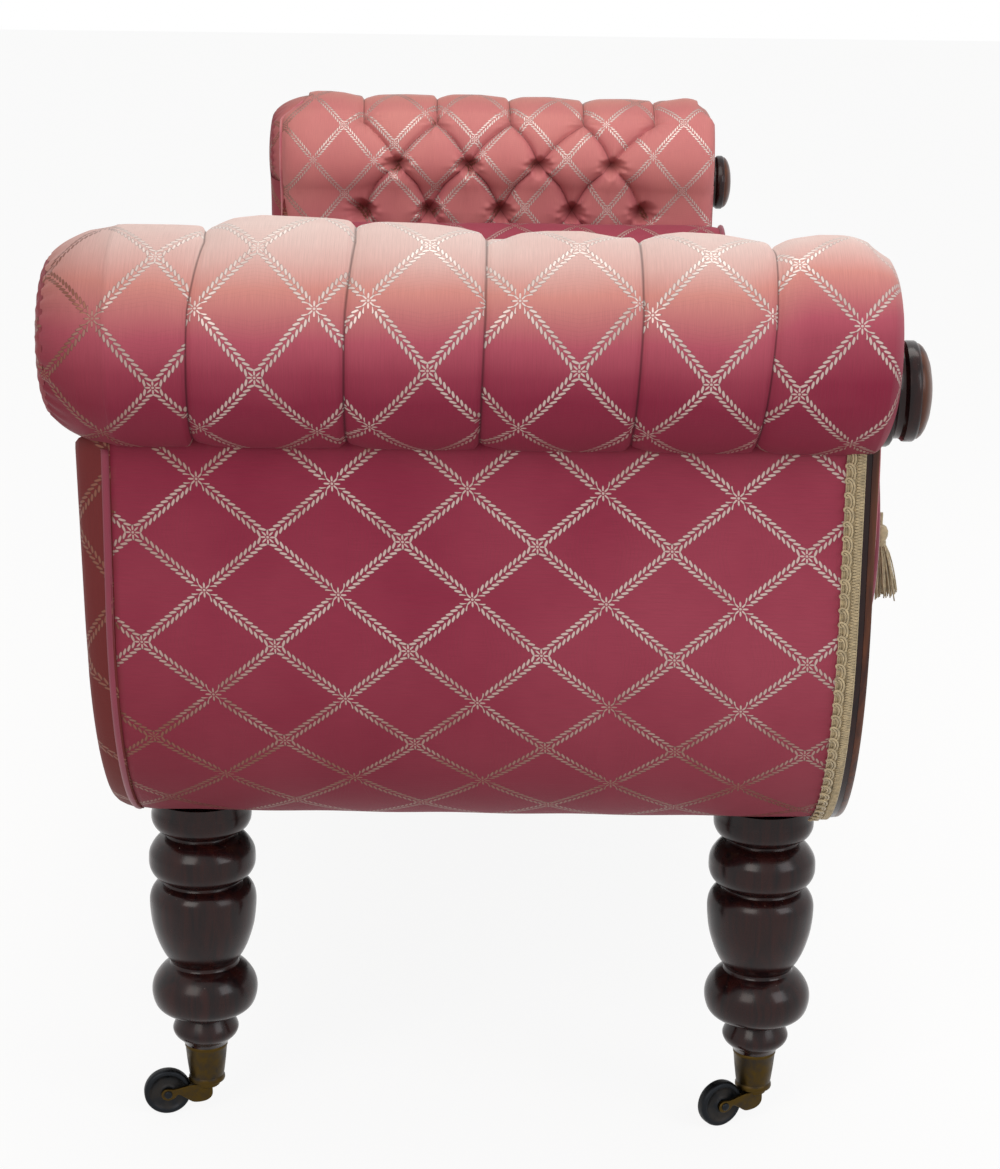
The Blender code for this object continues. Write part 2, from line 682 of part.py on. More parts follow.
def offset(outline, distance):
    """The outline drawn in by a distance, with mitred corners."""
    count = len(outline)
    area = sum(
        outline[i][0] * outline[(i + 1) % count][1] - outline[(i + 1) % count][0] * outline[i][1]
        for i in range(count)
    )
    turn = 1 if area > 0 else -1
    moved = []
    for i, point in enumerate(outline):
        before = (Vector(point) - Vector(outline[i - 1])).normalized()
        after = (Vector(outline[(i + 1) % count]) - Vector(point)).normalized()
        normals = [turn * Vector((-way.y, way.x)) for way in (before, after)]
        mitre = normals[0] + normals[1]
        mitre *= 2 * distance / mitre.length_squared
        moved.append((point[0] + mitre.x, point[1] + mitre.y))
    return moved


def rear_side(name, fabric):
    """Stuffed outside of the rear: both arms' sides and the seat's in one bulging panel."""
    line = ArmLine()
    half = panel_curve()
    steps = ARC_STEPS - 2
    radius = ROLL_RADIUS + REAR_PANEL_ROLL_CLEARANCE
    first = 1.5 * math.pi - math.asin(PANEL_OUTSET / radius)
    arm_at = math.asin((CORE_HALF + REAR_PANEL_ARM_SETBACK + PANEL_OUTSET) / radius)
    half += arc((0.0, ROLL_AXIS_HEIGHT), radius, first, 1.5 * math.pi + arm_at, steps)
    spread = line.length - line.on_roll
    for share in (0.42, 0.62):
        spot, _ = line.point(line.on_roll + spread * share)
        half.append((spot.x - REAR_PANEL_ARM_SETBACK, spot.y))
    half.append((ARM_FOOT_INWARD, SEAT_HEIGHT - REAR_PANEL_TOP_SINK))
    left = [(along(-1, inward), height) for inward, height in half]
    right = [(along(1, inward), height) for inward, height in reversed(half)]
    outline = left + right

    near = BODY_REAR_REACH + GAP
    step = near + REAR_PANEL_RABBET
    tall = max(z for _, z in outline) - BODY_BOTTOM
    bm = bmesh.new()
    rabbet = offset(outline, REAR_PANEL_RABBET)
    rings = [[bm.verts.new((x, y, z)) for x, z in rabbet] for y in (near, step)]
    # The stuffing stands out most at the top and thins towards the foot
    for inset_share, rise_share in REAR_PANEL_BULGE_SHARES:
        ring = []
        for x, z in offset(outline, REAR_PANEL_EDGE_INSET * inset_share):
            share = (z - BODY_BOTTOM) / tall
            full = REAR_PANEL_THICKNESS - REAR_PANEL_FOOT_THICKNESS
            out = near + REAR_PANEL_FOOT_THICKNESS + full * share
            ring.append(bm.verts.new((x, step + GAP + (out - step - GAP) * rise_share, z)))
        rings.append(ring)
    skin(bm, rings)
    bm.faces.new(rings[0])
    bm.faces.new(rings[-1])
    add_object(name, bm, fabric)


def seat_section(front, rear, bottom, inset):
    """(reach, height, crown share, forward share) across the seat, from its front edge."""
    radius = SEAT_EDGE_RADIUS - inset
    top = SEAT_HEIGHT - inset
    points = [(front - inset, bottom, 0.0, 1.0)]
    centre = (front - SEAT_EDGE_RADIUS, SEAT_HEIGHT - SEAT_EDGE_RADIUS)
    edge = arc(centre, radius, 0, math.pi / 2, SEAT_EDGE_STEPS)
    points += [(reach, height, 0.0, 1.0) for reach, height in edge]
    wide = front - rear - 2 * SEAT_EDGE_RADIUS
    for share in SEAT_CROSS_SHARES:
        crown = 1 - (2 * share - 1) ** 2
        points.append((centre[0] - wide * share, top, crown, 0.0))
    centre = (rear + SEAT_EDGE_RADIUS, centre[1])
    edge = arc(centre, radius, math.pi / 2, math.pi, SEAT_EDGE_STEPS)
    points += [(reach, height, 0.0, 0.0) for reach, height in edge]
    points.append((rear + inset, bottom, 0.0, 0.0))
    return points


def seat_stations():
    """(X, crown share, forward share) along the seat. It is flat where the bolsters lie."""
    beside = FRAME_FOOT_INWARD + 2 * GAP
    shoulder = beside + SEAT_SHOULDER
    half = [(SEAT_START, 0.0, 0.0), (beside, 0.0, 0.0), (shoulder, 0.0, 1.0)]
    left = [(along(-1, inward), crown, forward) for inward, crown, forward in half]
    right = [(along(1, inward), crown, forward) for inward, crown, forward in reversed(half)]
    start, stop = left[-1][0], right[0][0]
    middle = []
    for i in range(1, SEAT_STEPS):
        share = i / SEAT_STEPS
        middle.append((start + (stop - start) * share, math.sin(math.pi * share) ** 2, 1.0))
    return left + middle + right


def seat_solid(name, section, fabric):
    """A solid along the seat from a closed section, crowned, its front border brought forward."""
    proud = FACING_THICKNESS - SEAT_FRONT_SETBACK
    bm = bmesh.new()
    rings = []
    for x, crown, forward in seat_stations():
        ring = [
            bm.verts.new((x, -reach - proud * forward * out, height + SEAT_CROWN * crown * lift))
            for reach, height, lift, out in section
        ]
        rings.append(ring)
    skin(bm, rings)
    # One diagonal throughout, so that the layers keep their clearance where they twist
    bmesh.ops.triangulate(bm, faces=bm.faces, quad_method="FIXED")
    bm.faces.new(rings[0])
    bm.faces.new(rings[-1])
    add_object(name, bm, fabric)


def seat(cover_fabric, hair, jute, cambric):
    front = BODY_FRONT_REACH - GAP
    rear = -BODY_REAR_REACH
    outer = seat_section(front, rear, PAD_BOTTOM, 0.0)
    inner = seat_section(front, rear, PAD_BOTTOM, SEAT_COVER_THICKNESS)
    seat_solid("seat_cover", outer + inner[::-1], cover_fabric)
    stuffing = seat_section(front, rear, STUFFING_BOTTOM, SEAT_COVER_THICKNESS + GAP)
    seat_solid("seat_stuffing", stuffing[::-1], hair)

    inside = SEAT_COVER_THICKNESS + GAP
    x0, x1 = along(-1, SEAT_START), along(1, SEAT_START)
    y0, y1 = -front + inside, -rear - inside
    webbing("seat_webbing", x0, x1, y0, y1, jute)
    sheet = slab(rectangle(x0, x1, y0, y1), HESSIAN_BOTTOM, HESSIAN_BOTTOM + HESSIAN_THICKNESS)
    add_object("seat_hessian", sheet, jute, smooth=False)

    # The dust cover under the rails has its corners cut back round the legs
    edge_x = along(1, END_RAIL_INWARD + BASE_CLOTH_MARGIN)
    notch_x = along(1, END_RAIL_INWARD + CORNER_BLOCK + BASE_CLOTH_MARGIN)
    y0 = -BODY_FRONT_REACH + FRAME_BOARD
    y1 = BODY_REAR_REACH - FRAME_BOARD
    notch_y0 = y0 + CORNER_BLOCK + BASE_CLOTH_MARGIN
    notch_y1 = y1 - CORNER_BLOCK - BASE_CLOTH_MARGIN
    outline = [
        (-notch_x, y0), (notch_x, y0), (notch_x, notch_y0), (edge_x, notch_y0),
        (edge_x, notch_y1), (notch_x, notch_y1), (notch_x, y1), (-notch_x, y1),
        (-notch_x, notch_y1), (-edge_x, notch_y1), (-edge_x, notch_y0), (-notch_x, notch_y0),
    ]
    top = BODY_BOTTOM - GAP
    add_object("base_cloth", slab(outline, top - BASE_CLOTH_THICKNESS, top), cambric, smooth=False)


def webbing(name, x0, x1, y0, y1, jute):
    """Jute straps crossing under the stuffing, woven into one sheet with square gaps."""
    xs = strap_edges(x0, x1, CROSS_STRAP_COUNT)
    ys = strap_edges(y0, y1, LONG_STRAP_COUNT)
    low = SEAT_RAIL_TOP + GAP
    bm = bmesh.new()
    grid = [[bm.verts.new((x, y, low)) for y in ys] for x in xs]
    faces = []
    for i in range(len(xs) - 1):
        for k in range(len(ys) - 1):
            if i % 2 == 0 or k % 2 == 0:
                corners = (grid[i][k], grid[i + 1][k], grid[i + 1][k + 1], grid[i][k + 1])
                faces.append(bm.faces.new(corners))
    lifted = bmesh.ops.extrude_face_region(bm, geom=faces, use_keep_orig=True)
    raised = [item for item in lifted["geom"] if isinstance(item, bmesh.types.BMVert)]
    bmesh.ops.translate(bm, vec=(0, 0, WEBBING_THICKNESS), verts=raised)
    add_object(name, bm, jute, smooth=False)


def strap_edges(start, stop, count):
    """Edges of straps spread evenly from start to stop: strap, space, strap and so on."""
    space = (stop - start - count * WEBBING_STRAP) / (count - 1)
    edges = []
    for i in range(count):
        edge = start + i * (WEBBING_STRAP + space)
        edges += [edge, edge + WEBBING_STRAP]
    return edges


def seat_frame(mahogany, beech):
    """Rails and corner blocks under the seat."""
    foot = FRAME_FOOT_INWARD + GAP
    rail = [
        (along(-1, foot), BODY_BOTTOM), (along(1, foot), BODY_BOTTOM),
        (along(1, foot), SEAT_RAIL_TOP), (along(-1, foot), SEAT_RAIL_TOP),
    ]
    inside = BODY_FRONT_REACH - FRAME_BOARD
    add_object("front_seat_rail", prism(rail, -FACING_FRONT_REACH, -inside), mahogany)
    behind = BODY_REAR_REACH - SEAT_RAIL_THICKNESS
    add_object("rear_seat_rail", prism(rail, behind, BODY_REAR_REACH), beech)

    front_face = -BODY_FRONT_REACH + FRAME_BOARD + GAP
    rear_face = BODY_REAR_REACH - FRAME_BOARD - GAP
    blocks = {"front": (front_face, front_face + CORNER_BLOCK)}
    blocks["rear"] = (rear_face - CORNER_BLOCK, rear_face)
    for label, side in SIDES.items():
        x0, x1 = along(side, END_RAIL_INWARD), along(side, END_RAIL_INWARD + CORNER_BLOCK)
        for end, (y0, y1) in blocks.items():
            name = f"corner_block_{end}_{label}"
            block = add_object(
                name, slab(rectangle(x0, x1, y0, y1), BODY_BOTTOM, SEAT_RAIL_TOP), beech
            )
            radius = LEG_DOWEL_RADIUS + GAP
            ends = [(radius, BODY_BOTTOM - OVERRUN), (radius, BODY_BOTTOM + LEG_DOWEL_LENGTH + GAP)]
            hole = turned(ends, LEG_SIDES)
            spot = leg_place(end, side)
            bmesh.ops.translate(hole, vec=(spot[0], spot[1], 0), verts=hole.verts)
            cut(block, hole, f"{name}_dowel_cutter")
        x1 = along(side, END_RAIL_INWARD + END_RAIL_THICKNESS)
        y0, y1 = blocks["front"][1] + GAP, blocks["rear"][0] - GAP
        end_rail = slab(rectangle(x0, x1, y0, y1), BODY_BOTTOM, SEAT_RAIL_TOP)
        add_object(f"end_rail_{label}", end_rail, beech)


def leg_place(end, side):
    reach = BODY_FRONT_REACH - LEG_FRONT_SETBACK
    if end == "rear":
        reach = -BODY_REAR_REACH + LEG_REAR_SETBACK
    return along(side, LEG_INWARD), -reach


def leg_mesh_shape():
    """Turned leg about Z, from the hole for the castor's pin up to the dowel."""
    top = BODY_BOTTOM - GAP
    tall = top - LEG_FOOT_HEIGHT
    spigot_top = CUP_TOP_RADIUS - CUP_WALL - SPIGOT_CLEARANCE
    spigot_foot = CUP_FOOT_RADIUS - CUP_WALL - SPIGOT_CLEARANCE
    spigot_bottom = CUP_BOTTOM + CUP_FLOOR + GAP
    bore = PIN_RADIUS + GAP
    profile = [(0.0, CUP_BOTTOM + PIN_LENGTH + GAP), (bore, CUP_BOTTOM + PIN_LENGTH + GAP)]
    profile += [(bore, spigot_bottom), (spigot_foot, spigot_bottom)]
    profile += [(spigot_top, LEG_FOOT_HEIGHT + GAP)]
    profile += [(LEG_RADIUS * r, LEG_FOOT_HEIGHT + GAP + tall * h) for r, h in LEG_SHARES[:-1]]
    profile += [(LEG_RADIUS * LEG_SHARES[-1][0], top)]
    profile += [(LEG_DOWEL_RADIUS, top), (LEG_DOWEL_RADIUS, BODY_BOTTOM + LEG_DOWEL_LENGTH)]
    return profile


def cup_profile():
    inner_top = CUP_TOP_RADIUS - CUP_WALL
    inner_foot = CUP_FOOT_RADIUS - CUP_WALL
    bore = PIN_RADIUS + GAP
    floor = CUP_BOTTOM + CUP_FLOOR
    lip = CUP_LIP
    return [
        (bore, CUP_BOTTOM), (CUP_FOOT_RADIUS, CUP_BOTTOM),
        (CUP_FOOT_RADIUS + lip, CUP_BOTTOM + lip), (CUP_FOOT_RADIUS + lip, floor + lip),
        (CUP_FOOT_RADIUS + lip / 2, floor + 2 * lip), (CUP_TOP_RADIUS, LEG_FOOT_HEIGHT),
        (inner_top, LEG_FOOT_HEIGHT), (inner_foot, floor), (bore, floor),
    ]


def wheel_shape():
    """Wheel about Z, with a flat tread facing straight down at one facet."""
    widen = 1 / math.cos(math.pi / WHEEL_SIDES)
    half = WHEEL_WIDTH / 2
    tread = WHEEL_TREAD_WIDTH / 2
    bore = AXLE_RADIUS + GAP
    outer = WHEEL_RADIUS * widen
    shoulder = outer - WHEEL_SHOULDER
    rim = outer - WHEEL_RIM
    web = half - WHEEL_DISH
    right = [(outer, tread), (shoulder, half), (rim, half), (WHEEL_HUB_RADIUS, web), (bore, half)]
    return right + [(r, -h) for r, h in reversed(right)]


def fork(name, material, place_object):
    """Horn of a castor: pin and flange under the cup, and two arms down to the axle."""
    flange_top = CUP_BOTTOM - GAP
    pin_top = CUP_BOTTOM + PIN_LENGTH
    low = flange_top - FLANGE_THICKNESS
    profile = [(FLANGE_RADIUS, low), (FLANGE_RADIUS, flange_top), (PIN_RADIUS, flange_top)]
    profile += [(PIN_RADIUS, pin_top)]
    made = add_object(name, turned(profile, CUP_SIDES), material, parent=place_object)

    half = WHEEL_WIDTH / 2 + FORK_SIDE_CLEARANCE + FORK_ARM
    boss = arc(
        (CASTOR_TRAIL, WHEEL_RADIUS), FORK_BOSS_RADIUS, math.pi / 2, -math.pi / 2, FORK_BOSS_STEPS
    )
    heel_low = flange_top - FORK_HEEL_DEPTH
    outline = [(-FORK_HEEL_FRONT, heel_low), (-FORK_HEEL_FRONT, flange_top - GAP)]
    outline += [(FLANGE_RADIUS - GAP, flange_top - GAP)] + boss
    outline += [(FORK_HEEL_BACK, heel_low)]
    arms = bmesh.new()
    rings = [[arms.verts.new((x, y, z)) for y, z in outline] for x in (-half, half)]
    skin(arms, rings)
    for ring in rings:
        arms.faces.new(ring)
    join(made, arms, f"{name}_arms")

    slot = turned(
        [(WHEEL_RADIUS + FORK_WHEEL_CLEARANCE, -half + FORK_ARM),
         (WHEEL_RADIUS + FORK_WHEEL_CLEARANCE, half - FORK_ARM)],
        WHEEL_SIDES,
    )
    hole = turned(
        [(AXLE_RADIUS + GAP, -half - OVERRUN), (AXLE_RADIUS + GAP, half + OVERRUN)], AXLE_SIDES
    )
    for label, bm in (("slot", slot), ("hole", hole)):
        lay_axle(bm)
        cut(made, bm, f"{name}_{label}")
    for modifier in made.modifiers:
        modifier.object.parent = place_object
    return made


def lay_axle(bm):
    """Turns a shape about Z onto the wheel's axle, which lies along X behind the pin."""
    bmesh.ops.transform(bm, matrix=Matrix.Rotation(math.pi / 2, 4, "Y"), verts=bm.verts)
    bmesh.ops.translate(bm, vec=(0, CASTOR_TRAIL, WHEEL_RADIUS), verts=bm.verts)


def axle_profile():
    half = WHEEL_WIDTH / 2 + FORK_SIDE_CLEARANCE + FORK_ARM + GAP
    return [
        (AXLE_HEAD_RADIUS, -half - AXLE_HEAD), (AXLE_HEAD_RADIUS, -half), (AXLE_RADIUS, -half),
        (AXLE_RADIUS, half), (AXLE_HEAD_RADIUS, half), (AXLE_HEAD_RADIUS, half + AXLE_HEAD),
    ]


def leg_and_castor(end, label, materials):
    side = SIDES[label]
    x, y = leg_place(end, side)
    corner = f"{end}_{label}"
    leg = turned(leg_mesh_shape(), LEG_SIDES)
    add_object(f"leg_{corner}", leg, materials["mahogany"], (x, y, 0))
    cup = turned(cup_profile(), CUP_SIDES, ring=True)
    add_object(f"castor_cup_{corner}", cup, materials["brass"], (x, y, 0))

    swivel = place(f"castor_swivel_axis_{corner}", None, (x, y, 0), CASTOR_SWIVELS[corner])
    fork(f"castor_horn_{corner}", materials["brass"], swivel)
    axle = turned(axle_profile(), AXLE_SIDES)
    lay_axle(axle)
    add_object(f"castor_axle_{corner}", axle, materials["iron"], parent=swivel)
    wheel = turned(wheel_shape(), WHEEL_SIDES, ring=True, first_angle=math.pi / WHEEL_SIDES)
    bmesh.ops.transform(wheel, matrix=Matrix.Rotation(math.pi / 2, 4, "Y"), verts=wheel.verts)
    add_object(
        f"castor_wheel_{corner}", wheel, materials["iron"],
        (0, CASTOR_TRAIL, WHEEL_RADIUS), parent=swivel,
    )


def bolster_height():
    """Height of a bolster's axis, with one of its flats on the seat."""
    return SEAT_HEIGHT + GAP + BOLSTER_RADIUS * math.cos(math.pi / BOLSTER_SIDES)


def bolster_inward():
    """Inward place of a bolster's axis, where it leans on the arm's inside face."""
    line = ArmLine()
    height = bolster_height()
    inward = 0.0
    for spot in line.sweep:
        across = BOLSTER_RADIUS**2 - (spot[1] - height) ** 2
        if across > 0:
            inward = max(inward, spot[0] + math.sqrt(across))
    return inward + GAP


def bolster(label, materials):
    """Round loose cushion with piped, dished ends and a covered button at each centre."""
    side = SIDES[label]
    long = BOLSTER_FRONT_REACH + BOLSTER_REAR_REACH
    inset = BOLSTER_BUTTON_RADIUS + GAP
    half = [(BOLSTER_BUTTON_RADIUS, -BOLSTER_BUTTON_PROUD)]
    half += [(BOLSTER_BUTTON_RADIUS, BOLSTER_DISH - GAP), (inset, BOLSTER_DISH)]
    half += [(BOLSTER_RADIUS * r, long * d) for d, r in BOLSTER_END_SHARES]
    profile = half + [(r, long - d) for r, d in reversed(half[:-1])]
    down = math.pi / 2 + math.pi / BOLSTER_SIDES
    bm = turned(profile, BOLSTER_SIDES, first_angle=down)
    bmesh.ops.transform(bm, matrix=Matrix.Rotation(-math.pi / 2, 4, "X"), verts=bm.verts)
    height = bolster_height()
    x = along(side, bolster_inward())
    add_object(f"bolster_{label}", bm, materials["damask"], (x, -BOLSTER_FRONT_REACH, height))

    head = TASSEL_LENGTH * TASSEL_SHARES[0][1]
    profile = [(TASSEL_CORD_RADIUS, TASSEL_LENGTH), (TASSEL_CORD_RADIUS, head + GAP)]
    profile += [(TASSEL_RADIUS * r, TASSEL_LENGTH * h) for r, h in TASSEL_SHARES]
    low = height + TASSEL_CORD_RISE - TASSEL_LENGTH
    stand = BOLSTER_BUTTON_PROUD + GAP + TASSEL_CORD_RADIUS
    for end, reach in (("front", -BOLSTER_FRONT_REACH - stand), ("rear", BOLSTER_REAR_REACH + stand)):
        tassel = turned(profile, TASSEL_SIDES)
        add_object(f"tassel_{end}_{label}", tassel, materials["gold"], (x, reach, low))


def arm(label, materials):
    side = SIDES[label]
    wood = materials["mahogany"]
    beech = materials["beech"]
    arm_upholstery(f"arm_upholstery_{label}", side, materials["damask"])
    add_object(
        f"arm_facing_{label}",
        prism(facing_outline(side), -FACING_FRONT_REACH, -BODY_FRONT_REACH),
        wood,
    )
    rosette(f"arm_rosette_{label}", side, wood)
    front = -BODY_FRONT_REACH + GAP
    arm_frame(f"arm_frame_front_{label}", side, front, front + FRAME_BOARD - GAP, beech)
    rear = BODY_REAR_REACH
    arm_frame(f"arm_frame_rear_{label}", side, rear - FRAME_BOARD, rear, beech)
    rail = [
        (along(side, -CORE_HALF), SCROLL_RAIL_BOTTOM), (along(side, CORE_HALF), SCROLL_RAIL_BOTTOM),
        (along(side, CORE_HALF), SCROLL_RAIL_TOP), (along(side, -CORE_HALF), SCROLL_RAIL_TOP),
    ]
    add_object(f"scroll_rail_{label}", prism(rail, front, rear), beech)
    end_panel(f"end_panel_{label}", side, materials["damask"])
    braid(f"braid_{label}", side, materials["gold"])
    piping(f"piping_{label}", side, materials["damask"])


def main():
    clear_scene()
    materials = {
        "damask": finish("crimson_damask", (0.36, 0.05, 0.1), 0.6),
        "mahogany": finish("polished_mahogany", (0.06, 0.015, 0.01), 0.25),
        "beech": finish("beech", (0.5, 0.32, 0.18), 0.6),
        "brass": finish("aged_brass", (0.3, 0.2, 0.06), 0.4, 1.0),
        "iron": finish("dark_iron", (0.06, 0.05, 0.05), 0.5, 1.0),
        "gold": finish("gold_gimp", (0.5, 0.36, 0.16), 0.6),
        "hair": finish("horsehair", (0.1, 0.08, 0.06), 0.9),
        "jute": finish("jute", (0.42, 0.3, 0.16), 0.9),
        "cambric": finish("black_cambric", (0.02, 0.02, 0.02), 0.9),
    }
    seat_frame(materials["mahogany"], materials["beech"])
    for label in SIDES:
        arm(label, materials)
        bolster(label, materials)
        for end in ("front", "rear"):
            leg_and_castor(end, label, materials)
    rear_side("rear_side_panel", materials["damask"])
    seat(materials["damask"], materials["hair"], materials["jute"], materials["cambric"])


main()
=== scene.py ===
"""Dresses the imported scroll-end settee: buttoned damask arms, stuffed seat and bolsters,
turned mahogany, gimp and tassels, brass castors, and the stage that shows it.

Metres, +Z up. +X runs along the seat and the front faces -Y. "Inward" is measured from a
roll's axis towards the middle of the seat, and "reach" from the middle plane to the front.
"""

import functools
from math import asin, atan2, cos, degrees, dist, hypot, pi, radians, sin, sqrt, tan

import bmesh
import bpy
import numpy as np
from bpy.props import FloatProperty, FloatVectorProperty, IntProperty, PointerProperty
from mathutils import Matrix, Vector


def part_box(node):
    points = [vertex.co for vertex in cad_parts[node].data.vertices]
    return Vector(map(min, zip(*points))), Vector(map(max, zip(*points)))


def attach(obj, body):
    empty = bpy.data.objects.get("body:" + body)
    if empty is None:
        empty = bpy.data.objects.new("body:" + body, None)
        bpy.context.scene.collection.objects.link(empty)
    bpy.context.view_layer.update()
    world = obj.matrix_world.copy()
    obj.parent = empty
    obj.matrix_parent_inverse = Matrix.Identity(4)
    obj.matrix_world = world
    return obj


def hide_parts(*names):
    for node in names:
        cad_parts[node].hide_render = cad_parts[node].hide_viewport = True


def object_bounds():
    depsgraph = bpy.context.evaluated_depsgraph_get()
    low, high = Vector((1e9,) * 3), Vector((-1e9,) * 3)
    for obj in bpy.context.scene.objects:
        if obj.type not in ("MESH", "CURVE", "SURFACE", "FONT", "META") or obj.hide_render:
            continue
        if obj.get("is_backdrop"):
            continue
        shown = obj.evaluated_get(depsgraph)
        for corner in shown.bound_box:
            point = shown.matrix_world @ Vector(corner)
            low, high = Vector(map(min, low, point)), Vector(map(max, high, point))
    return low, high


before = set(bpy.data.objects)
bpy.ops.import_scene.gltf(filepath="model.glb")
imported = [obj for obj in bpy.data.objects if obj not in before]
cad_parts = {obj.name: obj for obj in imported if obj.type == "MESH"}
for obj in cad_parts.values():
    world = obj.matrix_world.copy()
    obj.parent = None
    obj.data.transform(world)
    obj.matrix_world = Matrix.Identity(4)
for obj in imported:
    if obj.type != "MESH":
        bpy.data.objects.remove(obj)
CAD_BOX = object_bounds()

bl_info = {
    "name": "Scroll-End Settee", "version": (1, 0, 0), "blender": (4, 5, 0),
    "location": "View3D > Sidebar > Settee",
    "description": "Builds the upholstery, turned wood, castors and stage of the settee",
    "category": "Object"}

MM = 0.001
SIDES = {"left": -1, "right": 1}
CORNERS = [(end, label) for end in ("front", "rear") for label in SIDES]

# Where each button sits, as reach in mm, for the rows from the top of the roll downwards
BUTTON_REACHES = {
    "left": (
        (-217, -101, -1, 116, 216), (-158, -50, 57, 164), (-213, -104, 4, 110, 214),
        (-157, -50, 56, 163), (-210, -103, 3, 109, 215),
    ),
    "right": (
        (-197, -91, 16, 122, 225), (-149, -45, 57, 163), (-196, -103, 2, 107, 207),
        (-155, -49, 57, 163), (-210, -103, 3, 109, 215),
    ),
}
# Reach of each pleat over the roll, in mm, at so many mm of arc outward from its top
PLEAT_REACHES = {
    "left": (
        (215, (-221, -104, -3, 112, 207)), (100, (-218, -102, 1, 117, 215)),
        (30, (-210, -97, 1, 116, 217)),
    ),
    "right": (
        (215, (-206, -97, 8, 118, 222)), (100, (-204, -95, 10, 120, 223)),
        (30, (-201, -93, 11, 121, 224)),
    ),
}
# One crossing of the trellis on each piece of cloth between the folds: the piece's middle in
# button pitches and rows, then the crossing's reach and its place below the first row, in mm
INSIDE_CLOTH_PLACES = (
    (-1, 1, -92, 106), (0, 1, 20, 104), (1, 1, 98, 59), (-1.5, 2, -154, 89), (-0.5, 2, -39, 83),
    (0.5, 2, 38, 136), (1.5, 2, 158, 137), (-1, 3, -60, 160), (0, 3, 30, 205), (1, 3, 110, 180),
)
CLOTH_PLACES = {
    "left": (
        (-2.5, 0, -243, -127), (-1.5, 0, -168, -118), (-0.5, 0, -41, -111), (0.5, 0, 70, -110),
        (1.5, 0, 167, -119), (2.5, 0, 232, -126), *INSIDE_CLOTH_PLACES,
    ),
    "right": (
        (-2.5, 0, -225, 13), (-1.5, 0, -152, 39), (-0.5, 0, -36, 31), (0.5, 0, 42, 0),
        (1.5, 0, 198, -46), (2.5, 0, 266, 3), *INSIDE_CLOTH_PLACES,
    ),
}
# Height of the stuffing on top of each roll over a true round: reach and height, in mm
ROLL_TOPS = {
    "left": (
        (-300, 0), (-215, 0), (-191, 6), (-170, 8), (-115, 6.5), (-97, 5), (-43, 3), (-20, 0.7),
        (0, -3.5), (14, -6.5), (27, -3), (45, -1.5), (73, -1.3), (102, -5.5), (117, -4),
        (149, -1), (177, -2.3), (204, -6.3), (217, -8), (234, -4.6), (253, -2), (300, -2),
    ),
    "right": (
        (-290, 3), (-268, 6.5), (-249, 6.5), (-230, 4.7), (-212, 1.2), (-199, 0.2),
        (-174, 2.1), (-137, 2.9), (-99, 2.6), (-93, 1.5), (-68, 3.7), (-29, 3.4), (12, -0.3),
        (32, 1), (73, 1), (120, -3.2), (145, -1.1), (189, -0.6), (228, -2.5), (245, -2.3),
        (270, 1.8), (289, 3.5),
    ),
}


def linear(code):
    """A colour written as sRGB hex, in the linear values that shaders take."""
    shares = [int(code[i : i + 2], 16) / 255 for i in (1, 3, 5)]
    return [c / 12.92 if c <= 0.04045 else ((c + 0.055) / 1.055) ** 2.4 for c in shares]


def length(name, description, default):
    return FloatProperty(name=name, description=description, default=default, unit="LENGTH")


def power(name, description, default):
    return FloatProperty(name=name, description=description, default=default, unit="POWER")


def angle(name, description, degrees):
    return FloatProperty(
        name=name, description=description, default=radians(degrees), subtype="ANGLE")


def colour(name, description, code):
    return FloatVectorProperty(
        name=name, description=description, default=linear(code), min=0, max=1, size=3,
        subtype="COLOR")


class SETTEE_PG_arm(bpy.types.PropertyGroup):
    span: length("Span", "Distance between the axes of the two rolls", 1.782)
    height: length("Axis height", "Height of a roll's axis over the floor", 0.711)
    radius: length("Roll radius", "Radius of the stuffed roll", 0.085)
    front_reach: length("Front reach", "Front end of the roll from the middle plane", 0.312)
    rear_reach: length("Rear reach", "Rear end of the roll from the middle plane", 0.340)
    front_round: length("Front rounding", "Length of the rounding at the front end", 0.045)
    front_drop: length("Front drop", "How much smaller the front end's radius is", 0.040)
    rear_round: length("Rear rounding", "Length of the rounding at the rear end", 0.070)
    rear_drop: length("Rear drop", "How much smaller the rear end's radius is", 0.050)
    rear_seam: length("Rear seam", "Radius of the gathered seam round the rear end cap", 0.062)
    pad_rear: length("Pad rear", "Rear edge of the inside face, at its piping", 0.316)
    leave: angle("Leaving angle", "Where the inside face leaves the roll", -30)
    sweep_start: length("Sweep start", "Pull of the inside face's curve at the roll", 0.045)
    sweep_end: length("Sweep end", "Pull of the inside face's curve at the seat", 0.060)
    foot_inward: length("Foot inward", "Inside face's foot from the roll's axis", 0.085)
    foot_height: length("Foot height", "Height where the inside face meets the seat", 0.441)
    foot_lean: angle("Foot lean", "Lean of the inside face at the seat", 14)
    pitch: length("Button pitch", "Usual distance between buttons in a row", 0.1065)
    centre: length("Button centre", "Reach of the middle button", 0.003)
    row_pitch: length("Row pitch", "Distance between rows of buttons", 0.072)
    first_row: angle("First row", "Angle of the first row of buttons on the roll", 42)
    crease: length("Crease depth", "How deep the folds between buttons are", 0.0125)
    pleat: length("Pleat depth", "How deep the pleats round the roll are", 0.0016)
    button: length("Button depth", "How much deeper the buttons are drawn in", 0.019)
    button_spread: length("Button spread", "Radius of the hollow round a button", 0.0145)


